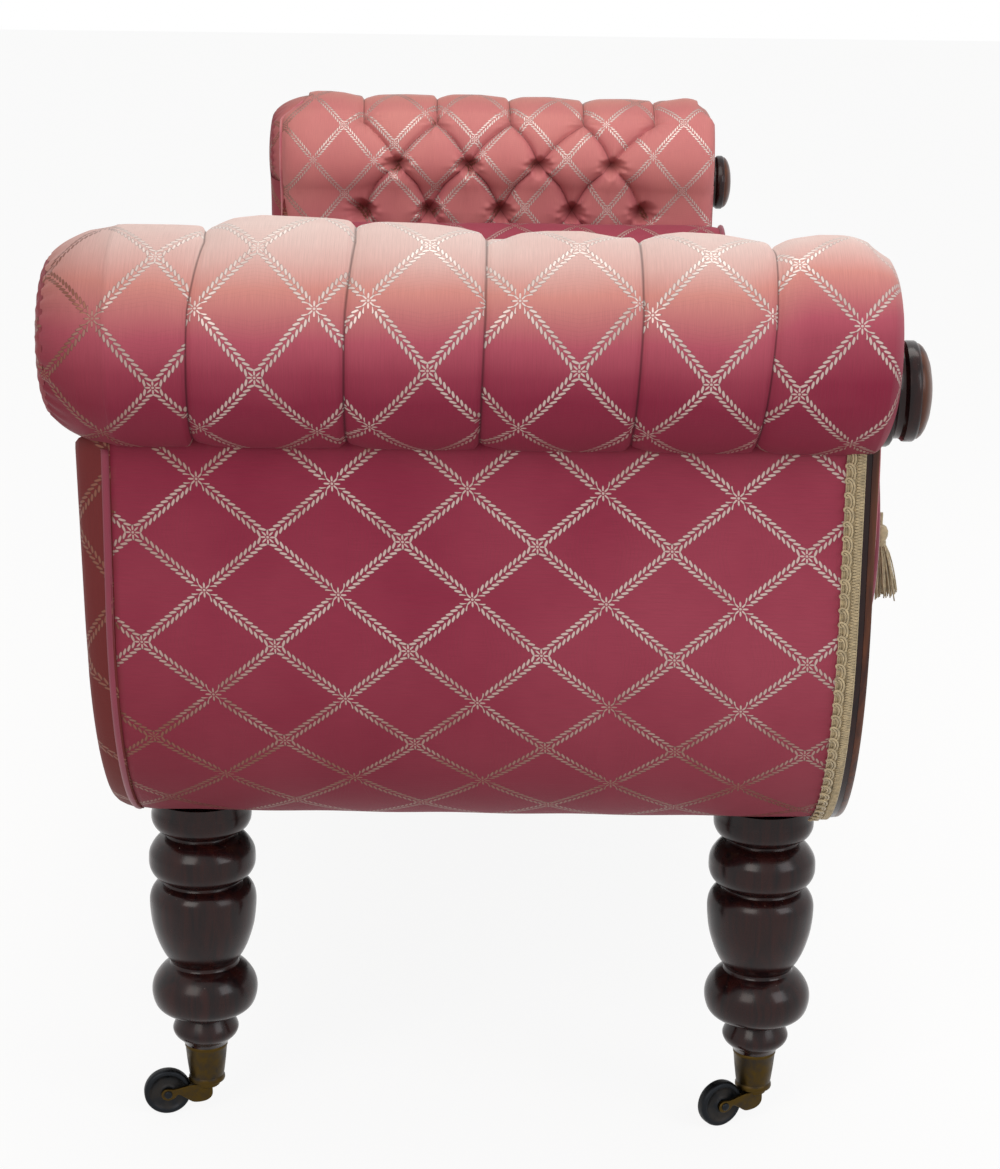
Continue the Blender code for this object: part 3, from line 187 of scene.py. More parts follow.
class SETTEE_PG_body(bpy.types.PropertyGroup):
    bottom: length("Bottom", "Height of the body's bottom edge", 0.294)
    front_reach: length("Front reach", "Front face of the body's frame", 0.289)
    rear_reach: length("Rear reach", "Rear face of the body's frame", 0.2795)
    seat_height: length("Seat height", "Height of the seat's edge", 0.449)
    rail_height: length("Rail height", "Height of the rails under the seat", 0.078)
    panel_outset: length("Panel outset", "Upright part of the end panel from the axis", 0.028)
    curve_rise: length("Curve rise", "Height of the curved part of the end panel", 0.206)
    curve_drop: length("Curve drop", "Height of the ellipse that the panel follows", 0.214)
    curve_depth: length("Curve depth", "Width of the ellipse that the panel follows", 0.170)
    facing: length("Facing thickness", "Thickness of the show-wood facing", 0.013)
    scroll_radius: length("Scroll radius", "Radius of the facing's scroll", 0.050)
    scroll_drop: length("Scroll drop", "Facing's scroll below the roll's axis", 0.035)
    foot_inward: length("Facing foot", "Where the facing meets the front rail", 0.210)
    rear_top: length("Rear stuffing", "Stuffing of the rear at the top", 0.036)
    rear_foot: length("Rear foot", "Stuffing of the rear at the bottom", 0.027)
    seat_edge: length("Seat edge", "Rounding of the seat's edges", 0.026)
    seat_crown: length("Seat crown", "Rise of the seat towards its middle", 0.009)


class SETTEE_PG_trim(bpy.types.PropertyGroup):
    seam_out: length("Seam outset", "Rear seam of the end panel behind the frame", 0.0055)
    piping: length("Piping radius", "Radius of the covered cord in the seams", 0.0034)
    braid_width: length("Gimp width", "Width of the gimp", 0.0165)
    braid_pitch: length("Gimp pitch", "Distance between the gimp's loops", 0.0114)
    braid_cord: length("Gimp cord", "Radius of the cords in the gimp", 0.00095)
    tassel_radius: length("Tassel radius", "Radius of the tassel's skirt", 0.0175)
    bolster_radius: length("Bolster radius", "Radius of the loose bolsters", 0.090)
    bolster_front: length("Bolster front", "Front end of the bolsters", 0.318)
    bolster_rear: length("Bolster rear", "Rear end of the bolsters", 0.300)


class SETTEE_PG_cloth(bpy.types.PropertyGroup):
    long_diagonal: length("Long diagonal", "Long diagonal of the trellis", 0.1036)
    short_diagonal: length("Short diagonal", "Short diagonal of the trellis", 0.0877)
    leaf_pitch: length("Leaf pitch", "Distance between two pairs of leaves", 0.00486)
    leaf_length: length("Leaf length", "Length of a leaf from its stem", 0.0060)
    leaf_width: length("Leaf width", "Greatest width of a leaf", 0.0028)
    leaf_angle: angle("Leaf angle", "Angle between a leaf and its stem", 40)
    rosette: length("Rosette radius", "Radius of the flower on each crossing", 0.0054)
    yarn: length("Yarn pitch", "Distance between two yarns", 0.00045)
    # The unfaded raspberry is also kept dark to paint the shade under the rolls
    unfaded: colour("Unfaded", "Raspberry ground that daylight has not reached", "#80203A")
    rose: colour("Rose", "Ground where it has begun to fade", "#AC5060")
    salmon: colour("Salmon", "Ground faded by the sun", "#CA877E")
    piping: colour("Piping silk", "Crimson silk over the cords in the seams", "#6E2535")
    pale: colour("Pale", "Ground on top of the rolls, where it faded most", "#D8C3BC")
    # The soiled brown also paints shade: in the folds, round the buttons, under the rolls and on
    # the end panels' top and foot
    brown: colour("Soiled", "Ground browned by dust and handling", "#5A2015")
    thread: colour("Thread", "Champagne silk of the leaves", "#C4AAA4")
    pale_thread: colour("Pale thread", "Leaves bleached silver by the sun", "#DACDC6")
    # The worn thread colour also paints shade on the leaves, in the hollows and towards the end
    # panels' foot
    old_thread_and_shade: colour("Worn thread", "Leaves where the silk has browned", "#7E4A39")


class SETTEE_PG_finish(bpy.types.PropertyGroup):
    wood_dark: colour("Dark wood", "Polished mahogany in its pores and hollows", "#12080A")
    wood_warm: colour("Warm wood", "Polished mahogany where the grain glows", "#2C100D")
    front_wood: colour("Front wood", "Browner mahogany of the facings and domes", "#5E3218")
    beech: colour("Beech", "Frame wood that does not show", "#B58A5E")
    brass: colour("Brass", "Aged brass of the castors", "#483819")
    patina: colour("Patina", "Brown patina on the brass", "#1E1812")
    iron: colour("Iron", "Dark iron of wheels and axles", "#25272A")
    gold: colour("Gold", "Gold silk of gimp and tassels", "#C1AD86")
    hessian: colour("Hessian", "Jute of webbing and hessian", "#9A7B52")
    cambric: colour("Cambric", "Black dust cover under the frame", "#2A2726")


class SETTEE_PG_leg(bpy.types.PropertyGroup):
    radius: length("Leg radius", "Largest radius of the turned leg", 0.046)
    foot: length("Leg foot", "Height of the leg's foot on its cup", 0.065)
    cup_top: length("Cup top", "Radius of the brass cup at its rim", 0.0186)
    cup_foot: length("Cup foot", "Radius of the brass cup at its foot", 0.0146)
    cup_bottom: length("Cup bottom", "Height of the cup's underside", 0.029)
    wheel: length("Wheel radius", "Radius of a castor wheel", 0.0205)
    wheel_width: length("Wheel width", "Width of a castor wheel", 0.011)
    trail: length("Trail", "Distance of the axle behind the swivel", 0.035)
    sides: IntProperty(name="Turning sides", description="Facets round a turning", default=64)


class SETTEE_PG_stage(bpy.types.PropertyGroup):
    lens: FloatProperty(
        name="Lens", description="Focal length", default=74.46, min=1, unit="CAMERA")
    yaw: angle("Yaw", "Camera turned from the settee's length", -0.183)
    pitch: angle("Pitch", "Camera tilted down", 14.536)
    roll: angle("Roll", "Camera rolled about its axis", -0.670)
    floor: colour("Floor", "Pale matt floor", "#F4F3F1")
    key: power("Key", "Power of the key light", 78)
    top: power("Top", "Power of the top light", 20)
    fill: power("Fill", "Power of the fill light", 34)


GROUPS = {
    "settee_arm": SETTEE_PG_arm, "settee_body": SETTEE_PG_body, "settee_trim": SETTEE_PG_trim,
    "settee_cloth": SETTEE_PG_cloth, "settee_finish": SETTEE_PG_finish,
    "settee_leg": SETTEE_PG_leg, "settee_stage": SETTEE_PG_stage}


# ---- shared mesh tools ----


def add_piece(name, mesh, looks, slot, *nodes, body="settee", fill=None, smooth=True, sharp=0):
    """Links a mesh as a piece that rides on a body and stands for its CAD nodes.

    Looks are the short names of its materials. Fill is not used, and sharp says from what angle
    its edges are sharp.
    """
    if isinstance(mesh, bmesh.types.BMesh):
        mesh = mesh_of(name, mesh)
    if smooth:
        mesh.shade_smooth()
    for look in looks.split():
        mesh.materials.append(materials()[look])
    made = bpy.data.objects.new(name, mesh)
    bpy.context.scene.collection.objects.link(made)
    if sharp:
        mesh.set_sharp_from_angle(angle=radians(sharp))
    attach(made, body)
    if nodes:
        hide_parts(*nodes)
    return made


def cloth_piece(name, patches, fill, *nodes):
    """A padded piece of damask, from its patches of cloth."""
    return add_piece(name, cloth_mesh(name, patches), "damask", "damask", *nodes, fill=fill)


def cloth_mesh(name, patches):
    """One mesh of several grids of points, with the cloth's own places, its fading and soil, and
    its painted shade.

    A patch is (points, cloth, shift, fade, soil, folds, held): cloth is the place on the flat
    fabric for each point, and shift moves it for each face, where the fabric is folded away.
    A fold lies where a value of folds is whole, and held says how tightly it is closed, which sets
    how dark its gap is painted.
    """
    points, faces, places, creases = [], [], [], []
    levels = {"fade": [], "soil": [], "held": []}
    base = 0
    for spots, cloth, shift, fade, soil, folds, held in patches:
        rows, columns = spots.shape[:2]
        index = np.arange(rows * columns).reshape(rows, columns) + base
        if folds is None:
            folds = np.full((rows, columns, 2), 0.5)

        def spread(table):
            corners = ((0, 0), (0, 1), (1, 1), (1, 0))
            return np.stack(
                [table[a : rows - 1 + a, b : columns - 1 + b] for a, b in corners], axis=2)

        faces.append(spread(index).reshape(-1, 4))
        places.append((spread(cloth) + shift[:, :, None, :]).reshape(-1, 2))
        creases.append(spread(folds).reshape(-1, 2))
        points.append(spots.reshape(-1, 3))
        for label, values in (("fade", fade), ("soil", soil), ("held", held)):
            levels[label].append(np.broadcast_to(values, (rows, columns)).reshape(-1))
        base += rows * columns
    mesh = bpy.data.meshes.new(name)
    mesh.from_pydata(np.concatenate(points).tolist(), [], np.concatenate(faces).tolist())
    for label, values in (("cloth", places), ("folds", creases)):
        layer = mesh.uv_layers.new(name=label)
        layer.data.foreach_set("uv", np.concatenate(values).astype("f").ravel())
    for label, values in levels.items():
        attribute = mesh.attributes.new(label, "FLOAT", "POINT")
        attribute.data.foreach_set("value", np.concatenate(values).astype("f"))
    bm = bmesh.new()
    bm.from_mesh(mesh)
    weld = 0.05 * MM
    bmesh.ops.remove_doubles(bm, verts=bm.verts, dist=weld)
    bmesh.ops.dissolve_degenerate(bm, edges=bm.edges, dist=weld / 10)
    bmesh.ops.recalc_face_normals(bm, faces=bm.faces)
    bm.to_mesh(mesh)
    bm.free()
    return mesh


def plain_patch(spots, cloth, fade, soil):
    shift = np.zeros((spots.shape[0] - 1, spots.shape[1] - 1, 2))
    return spots, cloth, shift, fade, soil, None, 0.0


def skin(bm, rings, capped=True):
    """Quads between closed rings of vertices, with a face over each end."""
    made = []
    for lower, upper in zip(rings, rings[1:]):
        for i in range(len(lower)):
            k = (i + 1) % len(lower)
            corners = list(dict.fromkeys((lower[i], lower[k], upper[k], upper[i])))
            if len(corners) > 2:
                made.append(bm.faces.new(corners))
    for ring in (rings[0], rings[-1]) if capped else ():
        if ring[0] is not ring[1]:
            bm.faces.new(ring)
    return made


def turned(name, profile, sides, matrix, sharp=35, unit=MM):
    """A turning about Z from radii and heights, moved by a matrix, its sharp edges kept."""
    bm = bmesh.new()
    turns = [2 * pi * i / sides for i in range(sides)]
    rings = []
    for radius, height in profile:
        radius, height = radius * unit, height * unit
        if radius < 0.001 * MM:
            rings.append([bm.verts.new((0, 0, height))] * sides)
        else:
            rings.append([bm.verts.new((radius * cos(a), radius * sin(a), height)) for a in turns])
    skin(bm, rings)
    bmesh.ops.transform(bm, matrix=matrix, verts=bm.verts)
    mesh = mesh_of(name, bm)
    mesh.shade_smooth()
    mesh.set_sharp_from_angle(angle=radians(sharp))
    return mesh


def turned_piece(name, profile, sides, matrix, sharp, *looks, unit=MM, **given):
    mesh = turned(name, profile, sides, matrix, sharp, unit)
    add_piece(name, mesh, *looks, smooth=False, **given)


def tube(bm, path, radius, sides, up, closed=False):
    """A round cord along points, added to a mesh."""
    rings = []
    across = Vector(up)
    last = len(path) - 1
    for i, spot in enumerate(path):
        before = path[i - 1] if i or closed else path[0]
        after = path[(i + 1) % len(path)] if i < last or closed else path[-1]
        way = (Vector(after) - Vector(before)).normalized()
        across = (across - way * across.dot(way)).normalized()
        other = way.cross(across)
        ring = []
        for k in range(sides):
            turn = 2 * pi * k / sides
            out = across * cos(turn) + other * sin(turn)
            ring.append(bm.verts.new(Vector(spot) + out * radius))
        rings.append(ring)
    skin(bm, rings + rings[:1] if closed else rings, capped=not closed)


def mesh_of(name, bm):
    bmesh.ops.recalc_face_normals(bm, faces=bm.faces)
    mesh = bpy.data.meshes.new(name)
    bm.to_mesh(mesh)
    bm.free()
    return mesh


def take_in(bm, mesh):
    """Adds a mesh to another, its own material slot numbers kept."""
    bm.from_mesh(mesh)
    bpy.data.meshes.remove(mesh)


def join_meshes(name, meshes):
    bm = bmesh.new()
    for mesh in meshes:
        take_in(bm, mesh)
    made = bpy.data.meshes.new(name)
    bm.to_mesh(made)
    bm.free()
    return made


def smooth_path(points, steps):
    """A Catmull-Rom curve through the points, with so many steps between two of them."""
    made = []
    for i in range(len(points) - 1):
        p = [Vector(points[min(max(k, 0), len(points) - 1)]) for k in range(i - 1, i + 3)]
        for k in range(steps):
            t = k / steps
            made.append(0.5 * (
                2 * p[1] + t * (p[2] - p[0]) + t * t * (2 * p[0] - 5 * p[1] + 4 * p[2] - p[3])
                + t**3 * (3 * p[1] - p[0] - 3 * p[2] + p[3])))
    made.append(Vector(points[-1]))
    return [tuple(p) for p in made]


def bezier(points, at):
    left = 1 - at
    weights = (left**3, 3 * left**2 * at, 3 * left * at**2, at**3)
    return tuple(sum(w * p[k] for w, p in zip(weights, points)) for k in (0, 1))


def joined(*parts):
    """Points from their parts, each an array or one value for all."""
    return np.stack(np.broadcast_arrays(*parts), axis=-1)


def ease(at):
    """A share that starts and ends gently, for places that may lie past its ends."""
    at = np.clip(at, 0, 1)
    return at * at * (3 - 2 * at)


def run_along(line):
    """How far each point of a line is from its start, along it."""
    return np.concatenate(([0], np.cumsum(np.hypot(*np.diff(line, axis=0).T))))


def beside(way):
    """Unit steps to the left of steps along a line."""
    way = way / np.maximum(np.linalg.norm(way, axis=-1, keepdims=True), 1e-9)
    return joined(-way[..., 1], way[..., 0])


def middle_of(name):
    """The middle of a CAD node at rest."""
    return [(a + b) / 2 for a, b in zip(*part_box(name))]


# ---- materials ----


def node(tree, kind, *values, ramp=(), **given):
    """Adds a node of a kind, such as "Math ADD". Its inputs are values or nodes, in order or by
    name with a capital, its settings have small letters, and a ramp is places and colours."""
    kind, _, operation = kind.partition(" ")
    made = tree.nodes.new("ShaderNode" + kind)
    if operation:
        made.operation = operation
    inputs = dict(enumerate(values))
    for key, value in given.items():
        if key[0].isupper():
            inputs[key.replace("_", " ")] = value
        else:
            setattr(made, key, value)
    for key, value in inputs.items():
        if isinstance(value, bpy.types.Node):
            value = next(socket for socket in value.outputs if socket.enabled)
        if isinstance(value, bpy.types.NodeSocket):
            tree.links.new(value, made.inputs[key])
            continue
        if not isinstance(value, (int, float)) and len(value) == 3:
            value = (*value, 1.0)[: len(made.inputs[key].default_value)]
        made.inputs[key].default_value = value
    for _ in ramp[2:]:
        made.color_ramp.elements.new(0.5)
    for stop, (place, shade) in zip(made.color_ramp.elements if ramp else (), ramp):
        stop.position, stop.color = place, (*shade, 1.0)
    return made


def new_material(name):
    """A named material, the call that adds its nodes, and the place on the object."""
    made = bpy.data.materials.new(name)
    made.use_nodes = True
    made.node_tree.nodes.clear()
    add = functools.partial(node, made.node_tree)
    return made, add, add("TexCoord").outputs["Object"]


def laurel_trellis(look):
    """Where the leaf thread floats on the cloth, from the place on the flat cloth in metres.

    A strip of paired leaves runs between the crossings of a rhombus trellis, and a flower of
    eight petals lies on each crossing. Along a strip all leaves point to the same crossing.
    """
    tree = bpy.data.node_groups.new("Laurel trellis", "ShaderNodeTree")
    add = functools.partial(node, tree)
    tree.interface.new_socket("Cloth", in_out="INPUT", socket_type="NodeSocketVector")
    for label in ("Thread", "Full"):
        tree.interface.new_socket(label, in_out="OUTPUT", socket_type="NodeSocketFloat")
    across, along = look.short_diagonal / 2, look.long_diagonal / 2
    strip = hypot(across, along)
    slope = look.leaf_angle
    axes = add("SeparateXYZ", tree.nodes.new("NodeGroupInput")).outputs
    y = add("Math PINGPONG", axes[0], along)
    x = add("Math PINGPONG", axes[1], across)

    # Place along the strip and to its side
    run = add("Math MULTIPLY", x, across / strip)
    run = add("Math MULTIPLY_ADD", y, along / strip, run)
    off = add("Math MULTIPLY", x, along / strip)
    off = add("Math MULTIPLY_ADD", y, -across / strip, off)
    off = add("Math ABSOLUTE", off)

    # A pair of leaves at every pitch, bent back to the crossing at the strip's start
    root = add("Math MULTIPLY_ADD", off, 1 / tan(slope), run)
    aside = add("Math PINGPONG", root, look.leaf_pitch / 2)
    aside = add("Math MULTIPLY", aside, sin(slope))
    out = add("Math MULTIPLY_ADD", off, 1 / (sin(slope) * look.leaf_length), -0.09)
    hump = add("Math MULTIPLY", add("Math SUBTRACT", 1.0, out), out)
    hump = add("Math POWER", add("Math MAXIMUM", hump, 0.0), 0.7)
    wide = add("Math MULTIPLY", hump, 1.32 * look.leaf_width)
    inside = add("Math SUBTRACT", wide, aside)
    begun = add("Math GREATER_THAN", root, look.rosette + 2.2 * MM)
    ended = add("Math LESS_THAN", root, strip - look.rosette + 0.8 * MM)
    leaf = add("Math MULTIPLY", add("MapRange", inside, -0.1 * MM, 0.25 * MM), begun)
    leaf = add("Math MULTIPLY", leaf, ended)

    # The flower on the nearer crossing
    far = add("Math GREATER_THAN", run, strip / 2)
    px = add("Math MULTIPLY_ADD", far, -across, x)
    py = add("Math MULTIPLY_ADD", far, -along, y)
    turn = add("Math MULTIPLY", add("Math ARCTAN2", py, px), 8.0)
    petal = add("Math MULTIPLY_ADD", add("Math COSINE", turn), 0.5, 0.75)
    apart = add("VectorMath LENGTH", add("CombineXYZ", px, py))
    rim = add("Math MULTIPLY", apart, 1 / look.rosette)
    reach = add("Math SUBTRACT", petal, rim)
    core = add("MapRange", rim, 0.16, 0.24, 1.0, 0.0)
    petals = add("Math MAXIMUM", add("MapRange", rim, 0.3, 0.4), core)
    flower = add("Math MULTIPLY", add("MapRange", reach, -0.03, 0.12), petals)

    full = add("MapRange", inside, 0.0, 0.6 * MM), add("MapRange", reach, 0.0, 0.3)
    result = tree.nodes.new("NodeGroupOutput")
    for label, parts in (("Thread", (leaf, flower)), ("Full", full)):
        tree.links.new(add("Math MAXIMUM", *parts).outputs[0], result.inputs[label])
    return tree


def damask(look):
    """Silk damask, woven: a satin ground with raised leaf threads.

    The ground reads as a soft sheen that pales and turns salmon where the sun reached it, and
    darkens with painted shade under the rolls, along the folds and round the buttons. The leaf
    threads catch the light, silver where the ground is faded and brown where they wore, and
    brown too where shade is painted.
    """
    made, add, spot = new_material("Silk damask, woven and sun-faded")
    place = add("UVMap", uv_map="cloth")
    trellis = add("Group", place, node_tree=laurel_trellis(look)).outputs
    fade, soil = [add("Attribute", attribute_name=key).outputs["Fac"] for key in ("fade", "soil")]

    # Uneven fading over a hand's width, and streaks of single yarns along the warp
    patches = add("TexNoise", Vector=spot, Scale=9.0, Detail=3.0)
    fade = add("Math MULTIPLY_ADD", patches, 0.16, fade)
    fade = add("Math SUBTRACT", fade, 0.08)
    stops = ((0.0, look.unfaded), (0.3, look.rose), (0.62, look.salmon), (1.0, look.pale))
    ground = add("ValToRGB", fade, ramp=stops)
    ground = add("Mix", Factor=soil, A=ground, B=look.brown, data_type="RGBA")
    yarns = add("VectorMath MULTIPLY", place, (1 / (40 * look.yarn), 1 / look.yarn, 0))
    streak = add("TexNoise", Vector=yarns, Scale=1.0, Detail=2.0)
    # Painted shade: the ground and the leaves are darkened along the thin gap of each fold
    lit = fold_gap(add, bpy.context.scene.settee_arm)
    tone = add("Math MULTIPLY", add("MapRange", streak, 0.3, 0.7, 0.93, 1.06), lit)
    ground = add("VectorMath MULTIPLY", ground, tone)

    worn = add("TexNoise", Vector=spot, Scale=22.0, Detail=4.0)
    worn = add("MapRange", worn, 0.35, 0.75, -0.15, 0.3)
    # Leaves take the worn colour by a noise and by the soil level, so they also brown where shade
    # is painted
    worn = add("Math MULTIPLY_ADD", soil, 4.4, worn, use_clamp=True)
    thread = add("Mix", Factor=fade, A=look.thread, B=look.pale_thread, data_type="RGBA")
    thread = add("Mix", Factor=worn, A=thread, B=look.old_thread_and_shade, data_type="RGBA")
    # Each leaf is darkened at its rim with painted shade, where the floats dive into the ground
    leaf_rim_shade = add("MapRange", trellis["Full"], 0.05, 0.85, 0.1, 1.0)
    thread = add("VectorMath MULTIPLY", thread, add("Math MULTIPLY", leaf_rim_shade, lit))

    # Yarn relief, and the leaves standing a little over the ground
    weave = add("Math MULTIPLY", streak, 0.25)
    height = add("Math ADD", trellis["Thread"], weave)
    bump = add("Bump", Strength=0.6, Distance=0.35 * MM, Height=height)
    cloth = add("BsdfPrincipled", Base_Color=ground, Roughness=0.62, Normal=bump, Sheen_Weight=0.05,
        Sheen_Roughness=0.4, Specular_IOR_Level=0.18, Sheen_Tint=(1.0, 0.86, 0.84, 1.0))
    floats = add("BsdfPrincipled", Base_Color=thread, Roughness=0.42, Metallic=0.35, Normal=bump)
    add("OutputMaterial", add("MixShader", trellis["Thread"], cloth, floats))
    return made


def fold_gap(add, sizes):
    """How much light is left in the thin gap where two folds of cloth meet."""
    axes = add("SeparateXYZ", add("UVMap", uv_map="folds")).outputs
    held = add("Attribute", attribute_name="held").outputs["Fac"]
    near = [add("Math PINGPONG", axes[i], 0.5) for i in (0, 1)]
    near = add("Math MINIMUM", *near)
    line = add("MapRange", near, 0.3 * MM / sizes.pitch, 1.5 * MM / sizes.pitch, -0.72, 0.0)
    return add("Math MULTIPLY_ADD", line, held, 1.0)


def plain_silk(name, dark, light):
    """Plain silk of the piping, cut on the bias: the rose ground of the damask without its
    leaves, with a slanting yarn that gives the cord its twisted look."""
    made, add, spot = new_material(name)
    patches = add("TexNoise", Vector=spot, Scale=30.0, Detail=4.0)
    ground = add("ValToRGB", patches, ramp=((0.35, dark), (1.0, light)))
    fine = add("TexWave", Vector=spot, Scale=320.0, Distortion=1.0, bands_direction="DIAGONAL")
    bump = add("Bump", Strength=0.35, Distance=0.2 * MM, Height=fine)
    shader = add("BsdfPrincipled", Base_Color=ground, Roughness=0.6, Sheen_Weight=0.3, Normal=bump)
    add("OutputMaterial", shader)
    return made


def polished_wood(name, dark, warm, roughness):
    """Mahogany, turned or moulded and French-polished: a deep ground with warmer grain that
    runs along the piece, a clear coat for the gloss and dull dust specks on the faces that look up."""
    made, add, spot = new_material(name)
    long_grain = add("Mapping", Vector=spot, Scale=(60.0, 60.0, 6.0))
    grain = add("TexNoise", Vector=long_grain, Scale=1.6, Detail=6.0, Distortion=1.2)
    base = add("ValToRGB", grain, ramp=((0.32, dark), (0.72, warm)))
    face = add("NewGeometry").outputs["Normal"]
    up = add("MapRange", add("SeparateXYZ", face).outputs[2], 0.1, 0.9)
    dust = add("TexNoise", Vector=spot, Scale=420.0, Detail=2.0)
    speck = add("Math MULTIPLY", add("MapRange", dust, 0.72, 0.8), up)
    speck = add("Math MULTIPLY", speck, 0.5)
    base = add("Mix", Factor=speck, A=base, B=linear("#9A9186"), data_type="RGBA")
    smear = add("TexNoise", Vector=spot, Scale=38.0, Detail=5.0)
    rough = add("MapRange", smear, 0.3, 0.75, roughness, roughness + 0.2)
    bump = add("Bump", Strength=0.12, Distance=0.3 * MM, Height=grain)
    shader = add("BsdfPrincipled", Base_Color=base, Roughness=rough, Normal=bump, IOR=1.5,
        Coat_Weight=0.12, Coat_Roughness=0.16, Coat_IOR=1.5, Specular_IOR_Level=0.22)
    add("OutputMaterial", shader)
    return made


def raw_wood(look):
    """Beech, sawn and unfinished: pale even wood with short flecks, dry and matt."""
    made, add, spot = new_material("Beech, sawn and unfinished")
    stretched = add("Mapping", Vector=spot, Scale=(12.0, 90.0, 90.0))
    flecks = add("TexNoise", Vector=stretched, Scale=2.0, Detail=6.0)
    dark = [c * 0.62 for c in look.beech]
    base = add("ValToRGB", flecks, ramp=((0.3, dark), (0.7, look.beech)))
    bump = add("Bump", Strength=0.3, Distance=0.4 * MM, Height=flecks)
    shader = add("BsdfPrincipled", Base_Color=base, Roughness=0.78, Normal=bump, IOR=1.5)
    add("OutputMaterial", shader)
    return made


def aged_metal(name, bright, dull, roughness, metallic_share):
    """Cast metal, worn and left to tarnish: metal shows on the edges and rubbed faces, and a
    dull brown skin lies between, so that its reflections break up."""
    made, add, spot = new_material(name)
    stain = add("TexNoise", Vector=spot, Scale=70.0, Detail=7.0, Roughness=0.65)
    edge = add("MapRange", add("NewGeometry").outputs["Pointiness"], 0.5, 0.56)
    tarnish = add("MapRange", stain, 0.35, 0.65)
    tarnish = add("Math SUBTRACT", tarnish, edge, use_clamp=True)
    base = add("Mix", Factor=tarnish, A=bright, B=dull, data_type="RGBA")
    metal = add("MapRange", tarnish, 0.0, 1.0, 1.0, metallic_share)
    rough = add("MapRange", stain, 0.3, 0.8, roughness, roughness + 0.3)
    bump = add("Bump", Strength=0.25, Distance=0.25 * MM, Height=stain)
    shader = add("BsdfPrincipled", Base_Color=base, Metallic=metal, Roughness=rough, Normal=bump)
    add("OutputMaterial", shader)
    return made


def spun_silk(look):
    """Gold silk, spun and twisted: fine ply lines round each cord and a soft satin gloss."""
    made, add, spot = new_material("Gold silk, spun and twisted")
    tone = add("TexNoise", Vector=spot, Scale=240.0, Detail=4.0)
    dark = [c * 0.5 for c in look.gold]
    base = add("ValToRGB", tone, ramp=((0.25, dark), (0.72, look.gold)))
    ply = add("TexWave", Vector=spot, Scale=420.0, Distortion=2.0, bands_direction="DIAGONAL")
    bump = add("Bump", Strength=0.5, Distance=0.2 * MM, Height=ply)
    shader = add("BsdfPrincipled", Base_Color=base, Roughness=0.5, Normal=bump, Sheen_Weight=0.3)
    add("OutputMaterial", shader)
    return made


def coarse_weave(name, shade, pitch, contrast):
    """Plain-woven cloth: yarns over and under each other, matt and slightly uneven."""
    made, add, spot = new_material(name)
    bands = [
        add("TexWave", Vector=spot, Scale=0.16 / pitch, Distortion=0.6, bands_direction=way)
        for way in "XY"]
    woven = add("Math MULTIPLY", *bands)
    dark = [c * contrast for c in shade]
    base = add("ValToRGB", woven, ramp=((0.0, dark), (0.6, shade)))
    bump = add("Bump", Strength=0.6, Distance=pitch / 3, Height=woven)
    shader = add("BsdfPrincipled", Base_Color=base, Roughness=0.9, Normal=bump, Sheen_Weight=0.15)
    add("OutputMaterial", shader)
    return made


@functools.cache
def materials():
    """Every material of the settee by its short name, made once."""
    cloth, look = bpy.context.scene.settee_cloth, bpy.context.scene.settee_finish
    return {
        "damask": damask(cloth),
        "silk": plain_silk("Plain silk, bias-cut over cord", cloth.unfaded, cloth.piping),
        "faded_silk": plain_silk("Plain silk, faded over cord", cloth.rose, cloth.salmon),
        "mahogany": polished_wood(
            "Mahogany, turned and French-polished", look.wood_dark, look.wood_warm, 0.16),
        "front": polished_wood(
            "Mahogany, moulded and rubbed", look.wood_warm, look.front_wood, 0.24),
        "beech": raw_wood(look),
        "brass": aged_metal("Brass, cast and tarnished", look.brass, look.patina, 0.32, 0.6),
        "iron": aged_metal("Iron, turned and darkened", look.iron, look.patina, 0.38, 0.4),
        "gold": spun_silk(look),
        "hessian": coarse_weave("Jute hessian, plain-woven", look.hessian, 1.6 * MM, 0.35),
        "cambric": coarse_weave("Black cambric, plain-woven", look.cambric, 0.6 * MM, 0.5),
    }


# ---- shapes that follow the frame ----


def along(side, inward):
    """X of a place so far inward from one end's roll axis."""
    return side * (bpy.context.scene.settee_arm.span / 2 - inward)


def to_frame(side, inward, reach, height):
    """Points of the frame from inward, reach and height, as one array."""
    return joined(along(side, np.asarray(inward)), -np.asarray(reach), height)


def panel_line(body, steps, inset=0.0):
    """The end panel's outside line as (inward, height), from its bottom edge upwards."""
    last = asin(min(1.0, body.curve_rise / body.curve_drop))
    points = []
    for i in range(steps + 1):
        turn = last * (1 - i / steps)
        inward = body.curve_depth * (1 - cos(turn)) - body.panel_outset
        height = body.bottom + body.curve_rise - body.curve_drop * sin(turn)
        slope = Vector((cos(turn) / body.curve_depth, sin(turn) / body.curve_drop)).normalized()
        points.append((inward + inset * slope.x, height + inset * slope.y))
    return points


def line_to_roll(sizes, body, steps, more, inset=0.0, aside=0.0, clearance=0.0, past=0.0):
    """The panel's line, carried on straight up to the roll's underside and past it."""
    line = panel_line(body, steps, inset)
    inward, start = line[-1]
    top = sizes.height - sqrt((sizes.radius + clearance) ** 2 - (inward + aside) ** 2) + past
    line += [(inward, start + (top - start) * k / more) for k in range(1, more + 1)]
    return np.array(line)


def rounding(at, drop):
    return drop * (1 - np.sqrt(np.maximum(0.0, 1 - np.clip(at, 0, 1) ** 2)))


